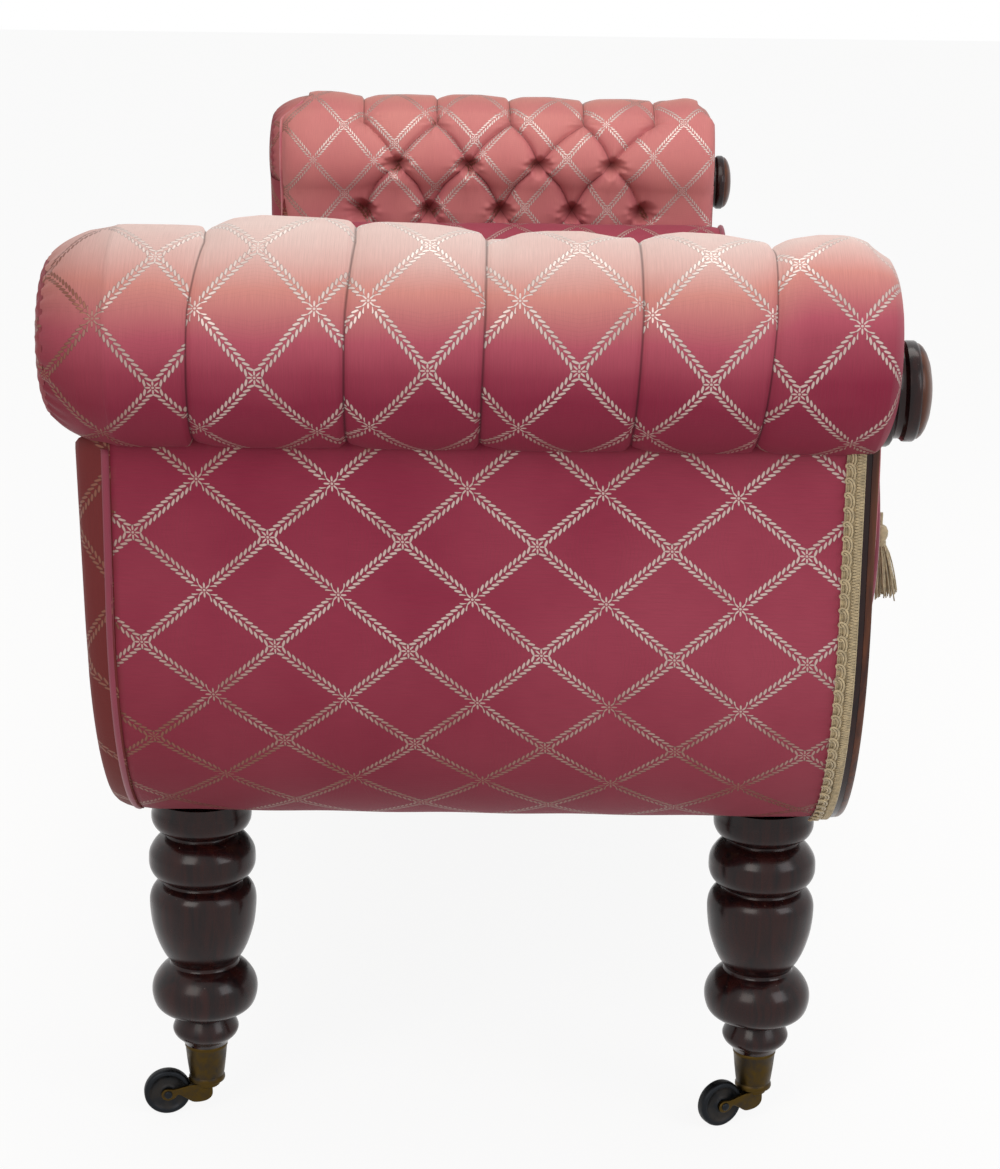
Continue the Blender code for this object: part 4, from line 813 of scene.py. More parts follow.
class ArmLine:
    """Outer line of an arm's stuffing, round the roll and down the inside face.

    Lengths along it are counted from the first row of buttons, which is on the roll.
    """

    def __init__(self, sizes, body):
        turn = sizes.leave
        start, end, lean = sizes.sweep_start, sizes.sweep_end, sizes.foot_lean
        leave = (sizes.radius * cos(turn), sizes.height + sizes.radius * sin(turn))
        foot = (sizes.foot_inward, sizes.foot_height)
        pulls = (
            leave, (leave[0] + start * sin(turn), leave[1] - start * cos(turn)),
            (foot[0] - end * sin(lean), foot[1] + end * cos(lean)), foot)
        spots = [bezier(pulls, i / 60) for i in range(61)]
        spots.append((foot[0], body.bottom + body.rail_height))
        self.sweep = np.array(spots)
        self.on_roll = sizes.radius * (sizes.first_row - sizes.leave)
        self.places = self.on_roll + run_along(self.sweep)
        self.length = self.places[-1]
        self.sizes = sizes

    def at(self, lengths):
        """Inward and height of the line, and its outward normal, at an array of lengths."""
        sizes = self.sizes
        turn = sizes.first_row - np.minimum(lengths, self.on_roll) / sizes.radius
        normal = joined(np.cos(turn), np.sin(turn))
        spot = sizes.radius * normal + np.array((0, sizes.height))
        past = np.maximum(lengths, self.on_roll)
        before, swept, after = [
            joined(*[np.interp(past + step, self.places, self.sweep[:, k]) for k in (0, 1)])
            for step in (-2 * MM, 0, 2 * MM)]
        below = (lengths > self.on_roll)[..., None]
        return np.where(below, swept, spot), np.where(below, beside(after - before), normal)


def held_reach(label, sizes, across, lengths):
    """Reach of places counted in button pitches, on the rows where the real buttons lie."""
    top = sizes.radius * (pi / 2 - sizes.first_row)
    rows = [(-(arc * MM) - top, reaches) for arc, reaches in PLEAT_REACHES[label]]
    rows += [(i * sizes.row_pitch, reaches) for i, reaches in enumerate(BUTTON_REACHES[label])]
    levels = np.array([level for level, _ in rows])
    table = []
    for _, reaches in rows:
        widest = (len(reaches) - 1) / 2
        even = np.arange(len(reaches)) - widest
        moved = np.array(reaches) * MM - (sizes.centre + even * sizes.pitch)
        table.append(np.interp(across[0], even, moved))
    table = np.stack(table)
    place = np.interp(lengths[:, 0], levels, np.arange(len(rows)))
    low = np.minimum(place.astype(int), len(rows) - 2)
    part = (place - low)[:, None]
    shift = table[low] * (1 - part) + table[low + 1] * part
    return np.clip(across, -2, 2) * sizes.pitch + sizes.centre + shift


def fold_places(across, row):
    """Places counted in folds that fall to either side: a fold lies on each whole number.

    Also gives how far a place is outside the outermost folds, in pitches.
    """
    held = np.clip(row, 0, 4 - 1e-6)
    part = held - np.floor(held)
    arch = 0.055 * np.sin(pi * part)
    odd = np.floor(held) % 2
    zigzag = 2 - np.where(odd, 1 - part, part) / 2 - arch * (1 - 2 * odd)
    return across + held / 2 + arch, across - held / 2 - arch, abs(across) - zigzag


def from_fold(rising, falling):
    """How far places counted in folds are from the nearest fold."""
    return np.minimum(abs(rising - np.round(rising)), abs(falling - np.round(falling)))


def from_button(sizes, across, row, button_row):
    """Steps across and down from the nearest button of a row, and the button's column."""
    widest = 2 - (button_row % 2) / 2
    column = np.clip(np.round(across + widest) - widest, -widest, widest)
    return (across - column) * sizes.pitch, (row - button_row) * sizes.row_pitch, column


def tuft_depth(sizes, across, row, phase):
    """How far the cover is drawn in at places counted in button and row pitches."""
    rising, falling, outside = fold_places(across, row)
    nearest = from_fold(rising, falling)
    nearest = np.where(outside > 0, np.minimum(outside, 0.5), nearest)
    away = nearest * sizes.pitch
    # Full round pillows below the first row, near flat strips between pleats over the roll
    side = np.clip(1 - 2 * nearest, 0, 1)
    pillow = sizes.crease * (1 - (1 - side**2.1) ** 0.62)
    # One side of each pleat lies over the other, which dips under it
    under = np.where(rising > np.round(rising), 12 * MM, 3.5 * MM)
    pleat = 1.9 * sizes.pleat * np.exp(-((away / under) ** 2)) + 1.0 * MM * side**2
    past = ease(-row * 1.15)
    low = np.clip((row - 4) / 0.6, 0, 1)
    drawn = (pillow * (1 - past) + pleat * past) * (1 - 0.7 * low)
    drawn = np.where(outside > 0, drawn * (1 - 0.35 * np.clip(outside * 2, 0, 1)), drawn)
    drawn += 2.0 * MM * np.exp(-((away / (2.0 * MM)) ** 2)) * (1 - low)
    for button_row in range(5):
        dx, dy, column = from_button(sizes, across, row, button_row)
        apart = np.hypot(dx, dy)
        turn = np.arctan2(dy, dx)
        deep = sizes.crease + sizes.button if button_row else 0.55 * sizes.crease
        pull = deep * np.exp(-((apart / sizes.button_spread) ** 2))
        # Small puckers that fan out from the button
        wave = np.cos(13 * turn + 2.1 * column + phase) + 0.7 * np.cos(8 * turn - column)
        fan = np.exp(-((apart - 17 * MM) / (9 * MM)) ** 2)
        drawn = np.maximum(drawn, pull) + 0.9 * MM * wave * fan
    return drawn


# ---- operators ----


def arm_cover(scene, label, side):
    sizes, body = scene.settee_arm, scene.settee_body
    line = ArmLine(sizes, body)
    margin = np.linspace(0, 1, 27)[1:]
    even = np.linspace(-2, 2, 4 * 54 + 1)
    across = np.concatenate((-2 - margin[::-1], even, 2 + margin))
    end_share = np.concatenate((margin[::-1], np.zeros(len(even)), margin))
    end_side = np.sign(across) * (end_share > 0)

    # Rows: over the roll, down through the buttons, and on to the seat
    start = 1.5 * pi - asin(body.panel_outset / sizes.radius)
    first = -sizes.radius * (start - sizes.first_row)
    over = np.linspace(first, 0, 150)[:-1]
    down = np.linspace(0, 4 * sizes.row_pitch, 4 * 40 + 1)
    low = np.linspace(down[-1], line.length, 16)[1:]
    across, lengths = np.meshgrid(across, np.concatenate((over, down, low)))
    row = lengths / sizes.row_pitch
    inner = held_reach(label, sizes, across, lengths)
    edges = cover_edges(scene, line, lengths[:, 0], side)
    ends = np.where(end_side > 0, edges["front"][:, None], -edges["rear"][:, None])
    reach = inner + (ends - inner) * end_share * (end_side != 0)

    spot, normal = line.at(lengths)
    turn = sizes.first_row - lengths / sizes.radius
    square = edges["square"][:, None]
    near_end = 1 - (abs(ends) - abs(reach)) / (20 * MM)
    pad_end = rounding(np.where(end_side != 0, near_end, 0.0), 13 * MM)
    on_roll = lengths <= line.on_roll + 1e-9
    round_end = roll_radius(sizes, reach) - sizes.radius
    # The front end is stuffed fuller at its outer and lower side
    round_end = round_end * (1 - 0.8 * ease((np.degrees(turn) - 105) / 45) * (reach > 0))
    out = np.where(on_roll, round_end * (1 - square), 0.0) - pad_end * square
    out -= tuft_depth(sizes, across, row, side)
    out += stuffing(label, reach, turn)
    surface = spot + normal * out[..., None]
    points = to_frame(side, surface[..., 0], reach, surface[..., 1])

    cloth, moved = cloth_shifts(label, sizes, across, lengths, reach)
    fade, soil = sun_fade_and_shading(label, sizes, lengths, reach, across)
    rising, falling, outside = fold_places(across, row)
    pinned = np.where(abs(across) > 2, np.sign(across) * 2.04, across)
    folds = joined(np.where(outside > 0, pinned, rising), np.where(outside > 0, pinned, falling))
    # How dark the painted shade in each fold's gap is: stronger over the roll, none below the last
    # row or outside the outer folds
    held = np.where(row < -0.3, 0.8, 0.45) * np.clip(1 - (row - 4) / 0.3, 0, 1)
    held = held * np.clip(1 - outside / 0.03, 0, 1)
    patches = [(points, cloth, moved, fade, soil, folds, held)]

    wrap = int(np.sum(lengths[:, 0] <= line.on_roll + 1e-9))
    for end, column in ((-1, 0), (1, -1)):
        cut = [table[:wrap, column] for table in (points, cloth, fade, soil, abs(reach))]
        patches.append(roll_end(scene, side, end, turn[:wrap, 0], moved[: wrap - 1, column], *cut))
    cut = [table[wrap - 1 :, -1] for table in (surface, reach, cloth, fade)]
    patches.append(front_flange(scene, side, edges, *cut))
    cut = [table[wrap - 1 :, 0] for table in (surface, normal, reach, cloth)]
    patches.append(rear_border(side, *cut))
    cloth_piece(f"arm_cover_{label}", patches, 0.85, f"arm_upholstery_{label}")
    end_cap(scene, label, side)
    seam = np.argmax(turn[:, 0] < radians(66))
    rear_piping(label, side, surface[seam:, 0], reach[seam:, 0])


def cover_edges(scene, line, lengths, side):
    """Reach of the cover's front and rear edge, square beside the inside face.

    The stuffing laps over the facing where it stands proud of the facing's inner line.
    """
    sizes, body = scene.settee_arm, scene.settee_body
    degrees = np.degrees(sizes.first_row - lengths / sizes.radius)
    square = ease((74 - degrees) / 30)
    inner = np.array(facing_line(scene)[-32:-1])
    spot, _ = line.at(lengths)
    facing = np.interp(-spot[:, 1], -inner[:, 1], inner[:, 0])
    proud = np.clip((spot[:, 0] - facing - 5 * MM) / (9 * MM), 0, 1)
    proud = np.where(lengths > line.on_roll, proud, 1.0)
    near = body.front_reach - 0.3 * MM
    front = near + (sizes.front_reach - near) * square * proud
    pad = sizes.pad_rear if side > 0 else sizes.pad_rear - 8 * MM
    rear = body.rear_reach + (pad - body.rear_reach) * square
    # Below the arm's middle the stuffing thins out into the rear cover
    rear = rear - 26 * MM * np.clip((0.60 - spot[:, 1]) / 0.14, 0, 1) ** 2
    return {"front": front, "rear": rear, "square": square, "facing": facing}


def roll_radius(sizes, reach):
    front = rounding(1 - (sizes.front_reach - reach) / sizes.front_round, sizes.front_drop)
    rear = rounding(1 - (sizes.rear_reach + reach) / sizes.rear_round, sizes.rear_drop)
    return sizes.radius - front - rear


def stuffing(label, reach, turn):
    """Fullness and hollows of the hand-stuffed roll, strongest on its top."""
    places, heights = np.array(ROLL_TOPS[label]).T * MM
    top = np.exp(-np.abs((turn - radians(80)) / radians(36)) ** 2.4)
    return np.interp(reach, places, heights) * top


def cloth_shifts(label, sizes, across, lengths, reach):
    """Place of each point on the flat cloth, and each face's shift past the folds."""
    cloth = joined(lengths, reach)
    middle = [(t[1:, 1:] + t[:-1, :-1]) / 2 for t in (across, lengths / sizes.row_pitch)]
    a, b = middle
    rising, falling, outside = fold_places(a, b)
    row = np.floor(rising) - np.floor(falling)
    centre = (np.floor(rising) + np.floor(falling) + 1) / 2
    over = (b <= 0) | ((row <= 0) & (outside <= 0))
    centre = np.where(over, np.floor(np.where(b <= 0, a, centre)) + 0.5, centre)
    row = np.where(over, 0, row)
    beyond = (outside > 0) & (b > 0)
    centre = np.where(beyond, np.sign(a) * 2.5, centre)
    row = np.where(beyond, 0, row)
    shift = np.zeros(a.shape + (2,))
    for place, level, crossing, along_line in CLOTH_PLACES[label]:
        inside = (abs(centre - place) < 0.1) & (abs(row - level) < 0.1)
        shift[inside] = (-along_line * MM, -crossing * MM)
    return cloth, shift


def sun_fade_and_shading(label, sizes, lengths, reach, across):
    """Fading by the daylight on the roll and the inside face, and painted shade under the roll,
    along the folds and round the buttons.
    """
    outward = np.degrees(-lengths / sizes.radius) - (90 - degrees(sizes.first_row))
    # The roll is palest on its top, where the sun faded it, and darkens down its outer side to the
    # underside: partly real fading, partly painted shade
    degrees_out = (-60, -25, 0, 12, 28, 40, 51, 61, 71, 81, 91, 101, 125)
    fade_and_shading_levels = (0.58, 0.72, 0.94, 0.95, 0.9, 0.82, 0.7, 0.58, 0.46, 0.34, 0.22, 0.09, -0.05)
    fade = np.interp(outward, degrees_out, fade_and_shading_levels)
    inside = np.interp(
        lengths, (-0.03, 0.0, 0.05, 0.13, 0.2, 0.3), (0.54, 0.51, 0.49, 0.46, 0.4, 0.3))
    fade = fade + (inside - fade) * ease((lengths + 0.05) / 0.04)
    # The roll darkens to brown towards its rear end, most on its rear rounding
    soil = 0.09 * np.clip((-reach - 0.2) / 0.09, 0, 1)
    soil = soil + 0.4 * np.clip((-reach - 0.275) / 0.045, 0, 1)
    # Painted shade on the roll's underside, darker the further round under it
    soil = soil + np.interp(outward, (100, 150), (0.0, 0.12))
    if label == "right":
        # The far roll's top is browner, and its inside face more evenly faded
        soil = soil * 0.5 + np.interp(outward, (-45, -15, 60), (0.0, 0.17, 0.2))
        fade = fade - 0.22 * (1 - np.clip((lengths + 0.05) / 0.04, 0, 1))
    else:
        ends = 0.3 * np.clip((-reach - 0.13) / 0.08, 0, 1)
        ends = ends + 2.1 * np.clip((reach - 0.19) / 0.05, 0, 1)
        fade = fade - 0.1 * ends * np.clip(1.5 - abs(outward - 60) / 35, 0, 1)
    # Painted shade: darker and browner along the folds and round the buttons, where the cloth is
    # drawn in
    row = lengths / sizes.row_pitch
    rising, falling, outside = fold_places(across, row)
    deep = np.clip(1 - from_fold(rising, falling) / 0.12, 0, 1) * (outside < 0) * (row > -0.2)
    for button_row in range(5):
        apart = np.hypot(*from_button(sizes, across, row, button_row)[:2])
        soil = soil + (0.5 if button_row else 0.2) * np.exp(-((apart / (11 * MM)) ** 2))
    return fade - 0.06 * deep, np.clip(soil + 0.05 * deep, 0, 1)


def roll_end(scene, side, end, turn, moved, edge, cloth, fade, soil, reach):
    """The roll beyond the inside face, drawn in to the rear seam or the facing's scroll."""
    sizes, body = scene.settee_arm, scene.settee_body
    if end > 0:
        limit, length, drop = sizes.front_reach, sizes.front_round, sizes.front_drop
    else:
        limit, length, drop = sizes.rear_reach, sizes.rear_round, sizes.rear_drop
    # Close the round under the roll behind the pad's end
    gap = np.linspace(turn[-1], turn[0] - 2 * pi, 22)[1:]
    settle = np.clip(np.linspace(0, 1, 22)[1:] * 3, 0, 1)
    turns = np.concatenate((turn, gap))
    reach = np.concatenate((reach, reach[-1] + (reach[0] - reach[-1]) * settle))
    near = np.hypot(side * edge[:, 0] - sizes.span / 2, edge[:, 2] - sizes.height)
    whole = sizes.radius - rounding(1 - (limit - reach[len(turn):]) / length, drop)
    radius0 = np.concatenate((near, near[-1] + (whole - near[-1]) * settle))
    if end > 0:
        sink = body.scroll_drop
        scroll = body.scroll_radius + 0.4 * MM
        s = np.sin(turns)
        target = -sink * s + np.sqrt(np.maximum((sink * s) ** 2 - sink**2 + scroll**2, 0))
        behind = sizes.radius - rounding(1 - (limit - body.front_reach) / length, drop)
        target = np.minimum(target, behind)
    else:
        target = np.full(len(turns), sizes.rear_seam)
    # The outer and lower side of the front end is stuffed out to a tighter corner
    full = np.clip((np.degrees(turns) - 105) / 45, 0, 1) * (end > 0)
    length = length * (1 - 0.55 * full)
    rows = []
    for at in np.linspace(0, 1, 28):
        radius = radius0 + (target - radius0) * at ** (1.5 + full)
        lost = np.clip((sizes.radius - radius) / drop, 0, 1)
        place = limit - length * (1 - np.sqrt(np.maximum(0, 1 - (1 - lost) ** 2)))
        place = np.where(radius < sizes.radius - drop, limit, place)
        place = reach + (np.maximum(place, reach) - reach) * min(1, at * 3)
        if end < 0:
            # Gathers where the cover is sewn to the round end
            close = np.clip((at - 0.5) / 0.5, 0, 1)
            radius = radius + 1.3 * MM * np.cos(31 * turns + np.sin(5 * turns)) * close
        rows.append((radius, place))
    if end > 0:
        rows.append((rows[-1][0], np.full(len(turns), body.front_reach + 0.3 * MM)))
    radius = np.stack([r for r, _ in rows], axis=1)
    place = np.stack([p for _, p in rows], axis=1)
    inward = radius * np.cos(turns)[:, None]
    height = sizes.height + radius * np.sin(turns)[:, None]
    points = to_frame(side, inward, end * place, height)
    points[: len(turn), 0] = edge
    run = np.cumsum(np.hypot(np.diff(radius, axis=1), np.diff(place, axis=1)), axis=1)
    steps = np.concatenate((np.zeros((len(turns), 1)), run), axis=1)
    start = np.concatenate((cloth, cloth[-1] + joined(sizes.radius * (turn[-1] - gap), 0 * gap)))
    places = start[:, None, :] + joined(0 * steps, end * steps)
    moves = np.concatenate((moved, np.repeat(moved[-1:], len(gap), axis=0)))
    moves = np.repeat(moves[:, None, :], points.shape[1] - 1, axis=1)
    # Painted shade in the round under the roll behind the pad's end; the ground also darkens
    # towards the end seam
    fade_and_shading_levels = np.concatenate((fade, np.full(len(gap), 0.2)))[:, None]
    soil_and_shade_levels = np.concatenate((soil, np.full(len(gap), 0.4)))[:, None]
    grow = np.linspace(0, 0.25 if end < 0 else 0.1, points.shape[1])[None, :]
    return points, places, moves, fade_and_shading_levels * (1 - grow), soil_and_shade_levels + grow, None, 0.0


def front_flange(scene, side, edges, surface, reach, cloth, fade):
    """The pad's front end, turned in over the facing's inner line and down behind it."""
    body = scene.settee_body
    facing = edges["facing"][-len(surface):] + 1.5 * MM
    proud = reach > body.front_reach + 0.5 * MM
    inner = np.where(proud, np.minimum(facing, surface[:, 0] - 1 * MM), surface[:, 0] - 25 * MM)
    near = np.full(len(reach), body.front_reach - 0.6 * MM)
    columns = [
        (surface[:, 0], reach), (surface[:, 0] * 0.82 + inner * 0.18, reach + 1.2 * MM),
        (surface[:, 0] * 0.4 + inner * 0.6, reach + 0.8 * MM),
        (inner, np.maximum(reach - 3 * MM, near)), (inner, near)]
    columns[1:3] = [(a, np.where(proud, b, reach)) for a, b in columns[1:3]]
    inward = np.stack([a for a, _ in columns], axis=1)
    out = np.stack([b for _, b in columns], axis=1)
    points = to_frame(side, inward, out, surface[:, 1:2])
    steps = np.array((0, 6, 20, 34, 50)) * MM
    places = cloth[:, None, :] + joined(0 * steps, steps)
    return plain_patch(points, places, fade[:, None] * 0.9, 0.25)


def rear_border(side, surface, normal, reach, cloth):
    """The stuffed border that closes the arm's rear end below the roll."""
    shape = ((0, 0), (1, 5), (5, 12), (12, 17), (22, 19), (32, 14), (42, 2), (54, -22))
    deep = np.array([d for d, _ in shape]) * MM
    back = np.array([b for _, b in shape]) * MM * (1.0 if side > 0 else 0.35)
    low = ease((0.62 - surface[:, 1]) / 0.11)
    thin = 1 - 0.95 * low
    spot = surface[:, None, :] - normal[:, None, :] * deep[None, :, None]
    out = np.where(back > 0, back * thin[:, None], back)
    points = to_frame(side, spot[..., 0], reach[:, None] - out, spot[..., 1])
    run = np.concatenate(([0], np.cumsum(np.hypot(np.diff(deep), np.diff(back)))))
    places = cloth[:, None, :] - joined(0 * run, run)
    # It thins out and browns towards the rear cover below
    soil = 0.5 if side > 0 else 0.85
    soil = (soil + (0.86 - soil) * low)[:, None] * np.ones(len(shape))
    fade = (0.26 - 0.16 * low)[:, None] * np.ones(len(shape))
    return plain_patch(points, places, fade, soil)


def rear_piping(label, side, surface, reach):
    """Covered cord in the seam between the inside face and the rear border."""
    bm = bmesh.new()
    path = to_frame(side, surface[::3, 0], reach[::3] - 0.6 * MM, surface[::3, 1])
    tube(bm, path, 2.4 * MM, sides=8, up=(0, 1, 0))
    add_piece(f"arm_piping_{label}", bm, "faded_silk", "damask")


def end_cap(scene, label, side):
    """Domed cap in the rear end of the roll, inside its seam."""
    sizes = scene.settee_arm
    limit, length, drop = sizes.rear_reach, sizes.rear_round, sizes.rear_drop
    lost = (sizes.radius - sizes.rear_seam) / drop
    seam = limit - length * (1 - sqrt(1 - (1 - lost) ** 2))
    turns = np.linspace(0, 2 * pi, 145)
    shares = np.linspace(0, 1, 24)
    radius = (sizes.rear_seam + 1.2 * MM) * (1 - shares)
    dome = 11.5 * MM * np.sqrt(1 - (1 - shares) ** 2)
    pleats = np.cos(31 * turns + 0.7)[:, None] * np.exp(-((shares - 0.12) / 0.12) ** 2)
    inward = radius * np.cos(turns)[:, None]
    height = sizes.height + radius * np.sin(turns)[:, None]
    points = to_frame(side, inward, -(seam - 1.5 * MM + dome + 0.7 * MM * pleats), height)
    cloth = joined(height - 0.66, inward)
    cloth_piece(f"roll_cap_{label}", [plain_patch(points, cloth, 0.28, 0.6)], 0.8)


class SETTEE_OT_arm_covers(bpy.types.Operator):
    """Cover both arms: the roll with its pleats, and the deep-buttoned inside face"""

    bl_idname = "settee.arm_covers"
    bl_label = "Arm Covers"

    def execute(self, context):
        for label, side in SIDES.items():
            arm_cover(context.scene, label, side)
        return {"FINISHED"}


class SETTEE_OT_end_panels(bpy.types.Operator):
    """Cover the outside of both arms, from under the roll to the bottom edge"""

    bl_idname = "settee.end_panels"
    bl_label = "End Panels"

    def execute(self, context):
        sizes, body = context.scene.settee_arm, context.scene.settee_body
        trim = context.scene.settee_trim
        for label, side in SIDES.items():
            line = line_to_roll(sizes, body, 40, 12, past=9 * MM)
            normal = beside(np.gradient(line, axis=0))
            # The rear edge is padded out over the rear cover's seam
            reach = np.linspace(-body.rear_reach - trim.seam_out, body.front_reach - 0.3 * MM, 110)
            # Slight hollows where the cover is pulled to its tacks and seams
            across, up = np.meshgrid(reach, run_along(line))
            edge = np.minimum(reach - reach[0], reach[-1] - reach)
            soft = -1.4 * MM * np.exp(-edge / (9 * MM))[None, :]
            soft = soft + 0.35 * MM * np.sin(across * 61 + 2 * np.sin(up * 23)) * np.exp(-up / 0.05)
            spots = line[:, None, :] + normal[:, None, :] * soft[..., None]
            inner = line - normal * 8 * MM
            points = to_frame(side, spots[..., 0], across, spots[..., 1])
            lean = 0.051 * (up - 0.220)
            cloth = np.stack((across + 0.264 + lean, up - 0.3127 + 0.024 * across), axis=-1)
            # Paler towards the front and the middle height, darker at the foot and the rear edge:
            # painted light and shade of the lamps falling across the panel
            fade = 0.08 * np.clip((across + 0.12) / 0.4, 0, 1) ** 1.3
            fade = fade + 0.06 * np.exp(-(((up - 0.24) / 0.12) ** 2))
            soil = 0.28 * np.clip((0.25 - up) / 0.2, 0, 1) + 0.1 * np.exp(-(across + 0.28) / 0.1)
            # Painted shadow of the roll along the panel's top
            soil = soil + 0.3 * np.clip((up - 0.36) / 0.12, 0, 1)
            patches = [plain_patch(points, cloth, fade, soil)]
            # Turned-in edges and the back
            back = to_frame(side, inner[:, None, 0], across, inner[:, None, 1])
            patches.append(plain_patch(back[:, ::-1], cloth[:, ::-1], 0.1, 0.4))
            for k in (0, -1):
                for axis in (1, 0):
                    edges = [table.take(k, axis=axis) for table in (points, back, cloth, cloth)]
                    rim, places = np.stack(edges[:2], axis=axis), np.stack(edges[2:], axis=axis)
                    patches.append(plain_patch(rim, places, 0.1, 0.4))
            cloth_piece(f"end_cover_{label}", patches, 1.0, f"end_panel_{label}")
        return {"FINISHED"}


def evened(outline, step):
    made = []
    for i, point in enumerate(outline):
        after = outline[(i + 1) % len(outline)]
        count = max(1, round(dist(point, after) / step))
        made += [tuple(Vector(point).lerp(Vector(after), k / count)) for k in range(count)]
    return made


def swell_line(rim):
    """For each point of the outline, the point on the panel's middle line to swell to."""
    span = abs(rim[:, 0]).max()
    x = np.clip(rim[:, 0], -span + 0.12, span - 0.12)
    inner = span - 0.19
    outer = np.clip((abs(x) - inner) / 0.08, 0, 1)
    tall = np.where(rim[:, 1] > 0.46, rim[:, 1], 0.37)
    level = 0.37 + (np.clip(tall, 0.37, 0.56) - 0.37) * outer
    return joined(x, level)


class SETTEE_OT_rear(bpy.types.Operator):
    """Cover the stuffed rear side in one piece from arm to arm"""

    bl_idname = "settee.rear"
    bl_label = "Rear Side"

    def execute(self, context):
        sizes, body = context.scene.settee_arm, context.scene.settee_body
        line = ArmLine(sizes, body)
        half = panel_line(body, 30)
        radius = sizes.radius - 12 * MM
        first = 1.5 * pi - asin(body.panel_outset / radius)
        last = 1.5 * pi + asin((28.3 * MM + body.panel_outset) / radius)
        for k in range(13):
            turn = first + (last - first) * k / 12
            half.append((radius * cos(turn), sizes.height + radius * sin(turn)))
        spread = line.length - line.on_roll
        for at in np.linspace(0.42, 0.62, 6):
            spot, _ = line.at(np.array([line.on_roll + spread * at]))
            half.append((spot[0, 0] - 3 * MM, spot[0, 1]))
        half.append((sizes.foot_inward, body.seat_height - 5 * MM))
        left = [(along(-1, a), b) for a, b in half]
        right = [(along(1, a), b) for a, b in reversed(half)]
        # Fine steps along the bottom and top edges, so that the stuffing can swell between
        outline = evened(left + right, 14 * MM)
        near = body.rear_reach + 0.3 * MM
        tall = max(z for _, z in outline) - body.bottom
        rim = np.array(outline)
        middle = swell_line(rim)
        rings = []
        bulge = ((0.002, 0.22), (0.006, 0.29), (0.02, 0.47), (0.045, 0.68), (0.08, 0.86),
                 (0.12, 0.96), (0.17, 1.0), (0.3, 1.03), (0.5, 1.06), (0.75, 1.08), (1.0, 1.08))
        for inset, rise in bulge:
            spot = rim + (middle - rim) * inset
            level = (spot[:, 1] - body.bottom) / tall
            out = body.rear_foot + (body.rear_top - body.rear_foot) * np.clip(level, 0, 1)
            rings.append(joined(spot[:, 0], near + out * rise, spot[:, 1]))
        # The rim stays under the end panels' turned edge as far as the piping
        tuck = middle - rim
        tuck = rim + tuck * (2.2 * MM / np.maximum(np.linalg.norm(tuck, axis=1), 1 * MM))[:, None]
        for back in (near + context.scene.settee_trim.seam_out + 0.2 * MM, near):
            rings.insert(0, joined(tuck[:, 0], np.full(len(rim), back), tuck[:, 1]))
        points = np.stack(rings, axis=0)
        points = np.concatenate((points, points[:, :1]), axis=1)
        # The cloth's own places run inwards over the swell, so that no leaf is stretched
        run = np.cumsum(np.linalg.norm(np.diff(points, axis=0, prepend=points[:1]), axis=2), axis=0)
        flat = np.concatenate((rim, rim[:1]))
        way = np.concatenate((middle - rim, middle[:1] - rim[:1]))
        way /= np.maximum(np.linalg.norm(way, axis=1), 1 * MM)[:, None]
        place = flat[None, :, 0] + way[None, :, 0] * run
        cloth = joined(points[..., 2] - 0.36, place)
        soil = 0.8 + 0.1 * np.exp(-(points[..., 2] - body.bottom) / 0.1)
        cloth_piece("rear_cover", [plain_patch(points, cloth, 0.1, soil)], 0.9, "rear_side_panel")
        return {"FINISHED"}


def under_seat():
    """Webbing, hessian and dust cover, each where its plain solid lies."""
    for name, node_name, cloth, slot in (
        ("dust_cover", "base_cloth", "cambric", "cambric"),
        ("hessian_sheet", "seat_hessian", "hessian", "jute")):
        low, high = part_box(node_name)
        wide, deep = high[0] - low[0], high[1] - low[1]
        columns, rows = round(wide / 0.05), round(deep / 0.05)
        bm = bmesh.new()
        grid = []
        for i in range(columns + 1):
            line = []
            for k in range(rows + 1):
                s, t = i / columns, k / rows
                sag = 1.0 * MM * sin(pi * s) * sin(pi * t)
                line.append(bm.verts.new(
                    (low[0] + wide * s, low[1] + deep * t, low[2] + 0.6 * MM - sag)))
            grid.append(line)
        for i in range(columns):
            for k in range(rows):
                spot = (low[0] + wide * (i + 0.5) / columns, low[1] + deep * (k + 0.5) / rows)
                if name != "dust_cover" or clear_of_legs(spot, low, high):
                    bm.faces.new((grid[i][k], grid[i + 1][k], grid[i + 1][k + 1], grid[i][k + 1]))
        bmesh.ops.delete(bm, geom=[v for v in bm.verts if not v.link_faces], context="VERTS")
        area = min(sum(f.calc_area() for f in bm.faces), wide * deep)
        made = add_piece(name, bm, cloth, slot, node_name)
    low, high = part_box("seat_webbing")
    bm = bmesh.new()
    for lengthwise, count in ((True, 4), (False, 7)):
        a, b = (1, 0) if lengthwise else (0, 1)
        room = high[a] - low[a] - 50 * MM
        for i in range(count):
            start = low[a] + room * i / (count - 1)
            steps = 60 if lengthwise else 24
            for k in range(steps):
                ring = []
                for place in [low[b] + (high[b] - low[b]) * (k + t) / steps for t in (0, 1)]:
                    weave = 0.5 * MM * sin(place * 34 + i * pi + (a * pi))
                    level = (low[2] + high[2]) / 2 + weave
                    for edge in (start, start + 50 * MM):
                        spot = [0, 0, level]
                        spot[a], spot[b] = edge, place
                        ring.append(bm.verts.new(spot))
                bm.faces.new((ring[0], ring[1], ring[3], ring[2]))
    bmesh.ops.remove_doubles(bm, verts=bm.verts, dist=0.01 * MM)
    add_piece("web_straps", bm, "hessian", "jute", "seat_webbing")


def clear_of_legs(spot, low, high):
    """Whether a place is clear of the four corners that are cut back round the legs."""
    corner_x, corner_y = high[0] - 75 * MM, 82 * MM
    near_end = abs(spot[0]) > corner_x
    return not (near_end and (spot[1] < low[1] + corner_y or spot[1] > high[1] - corner_y))


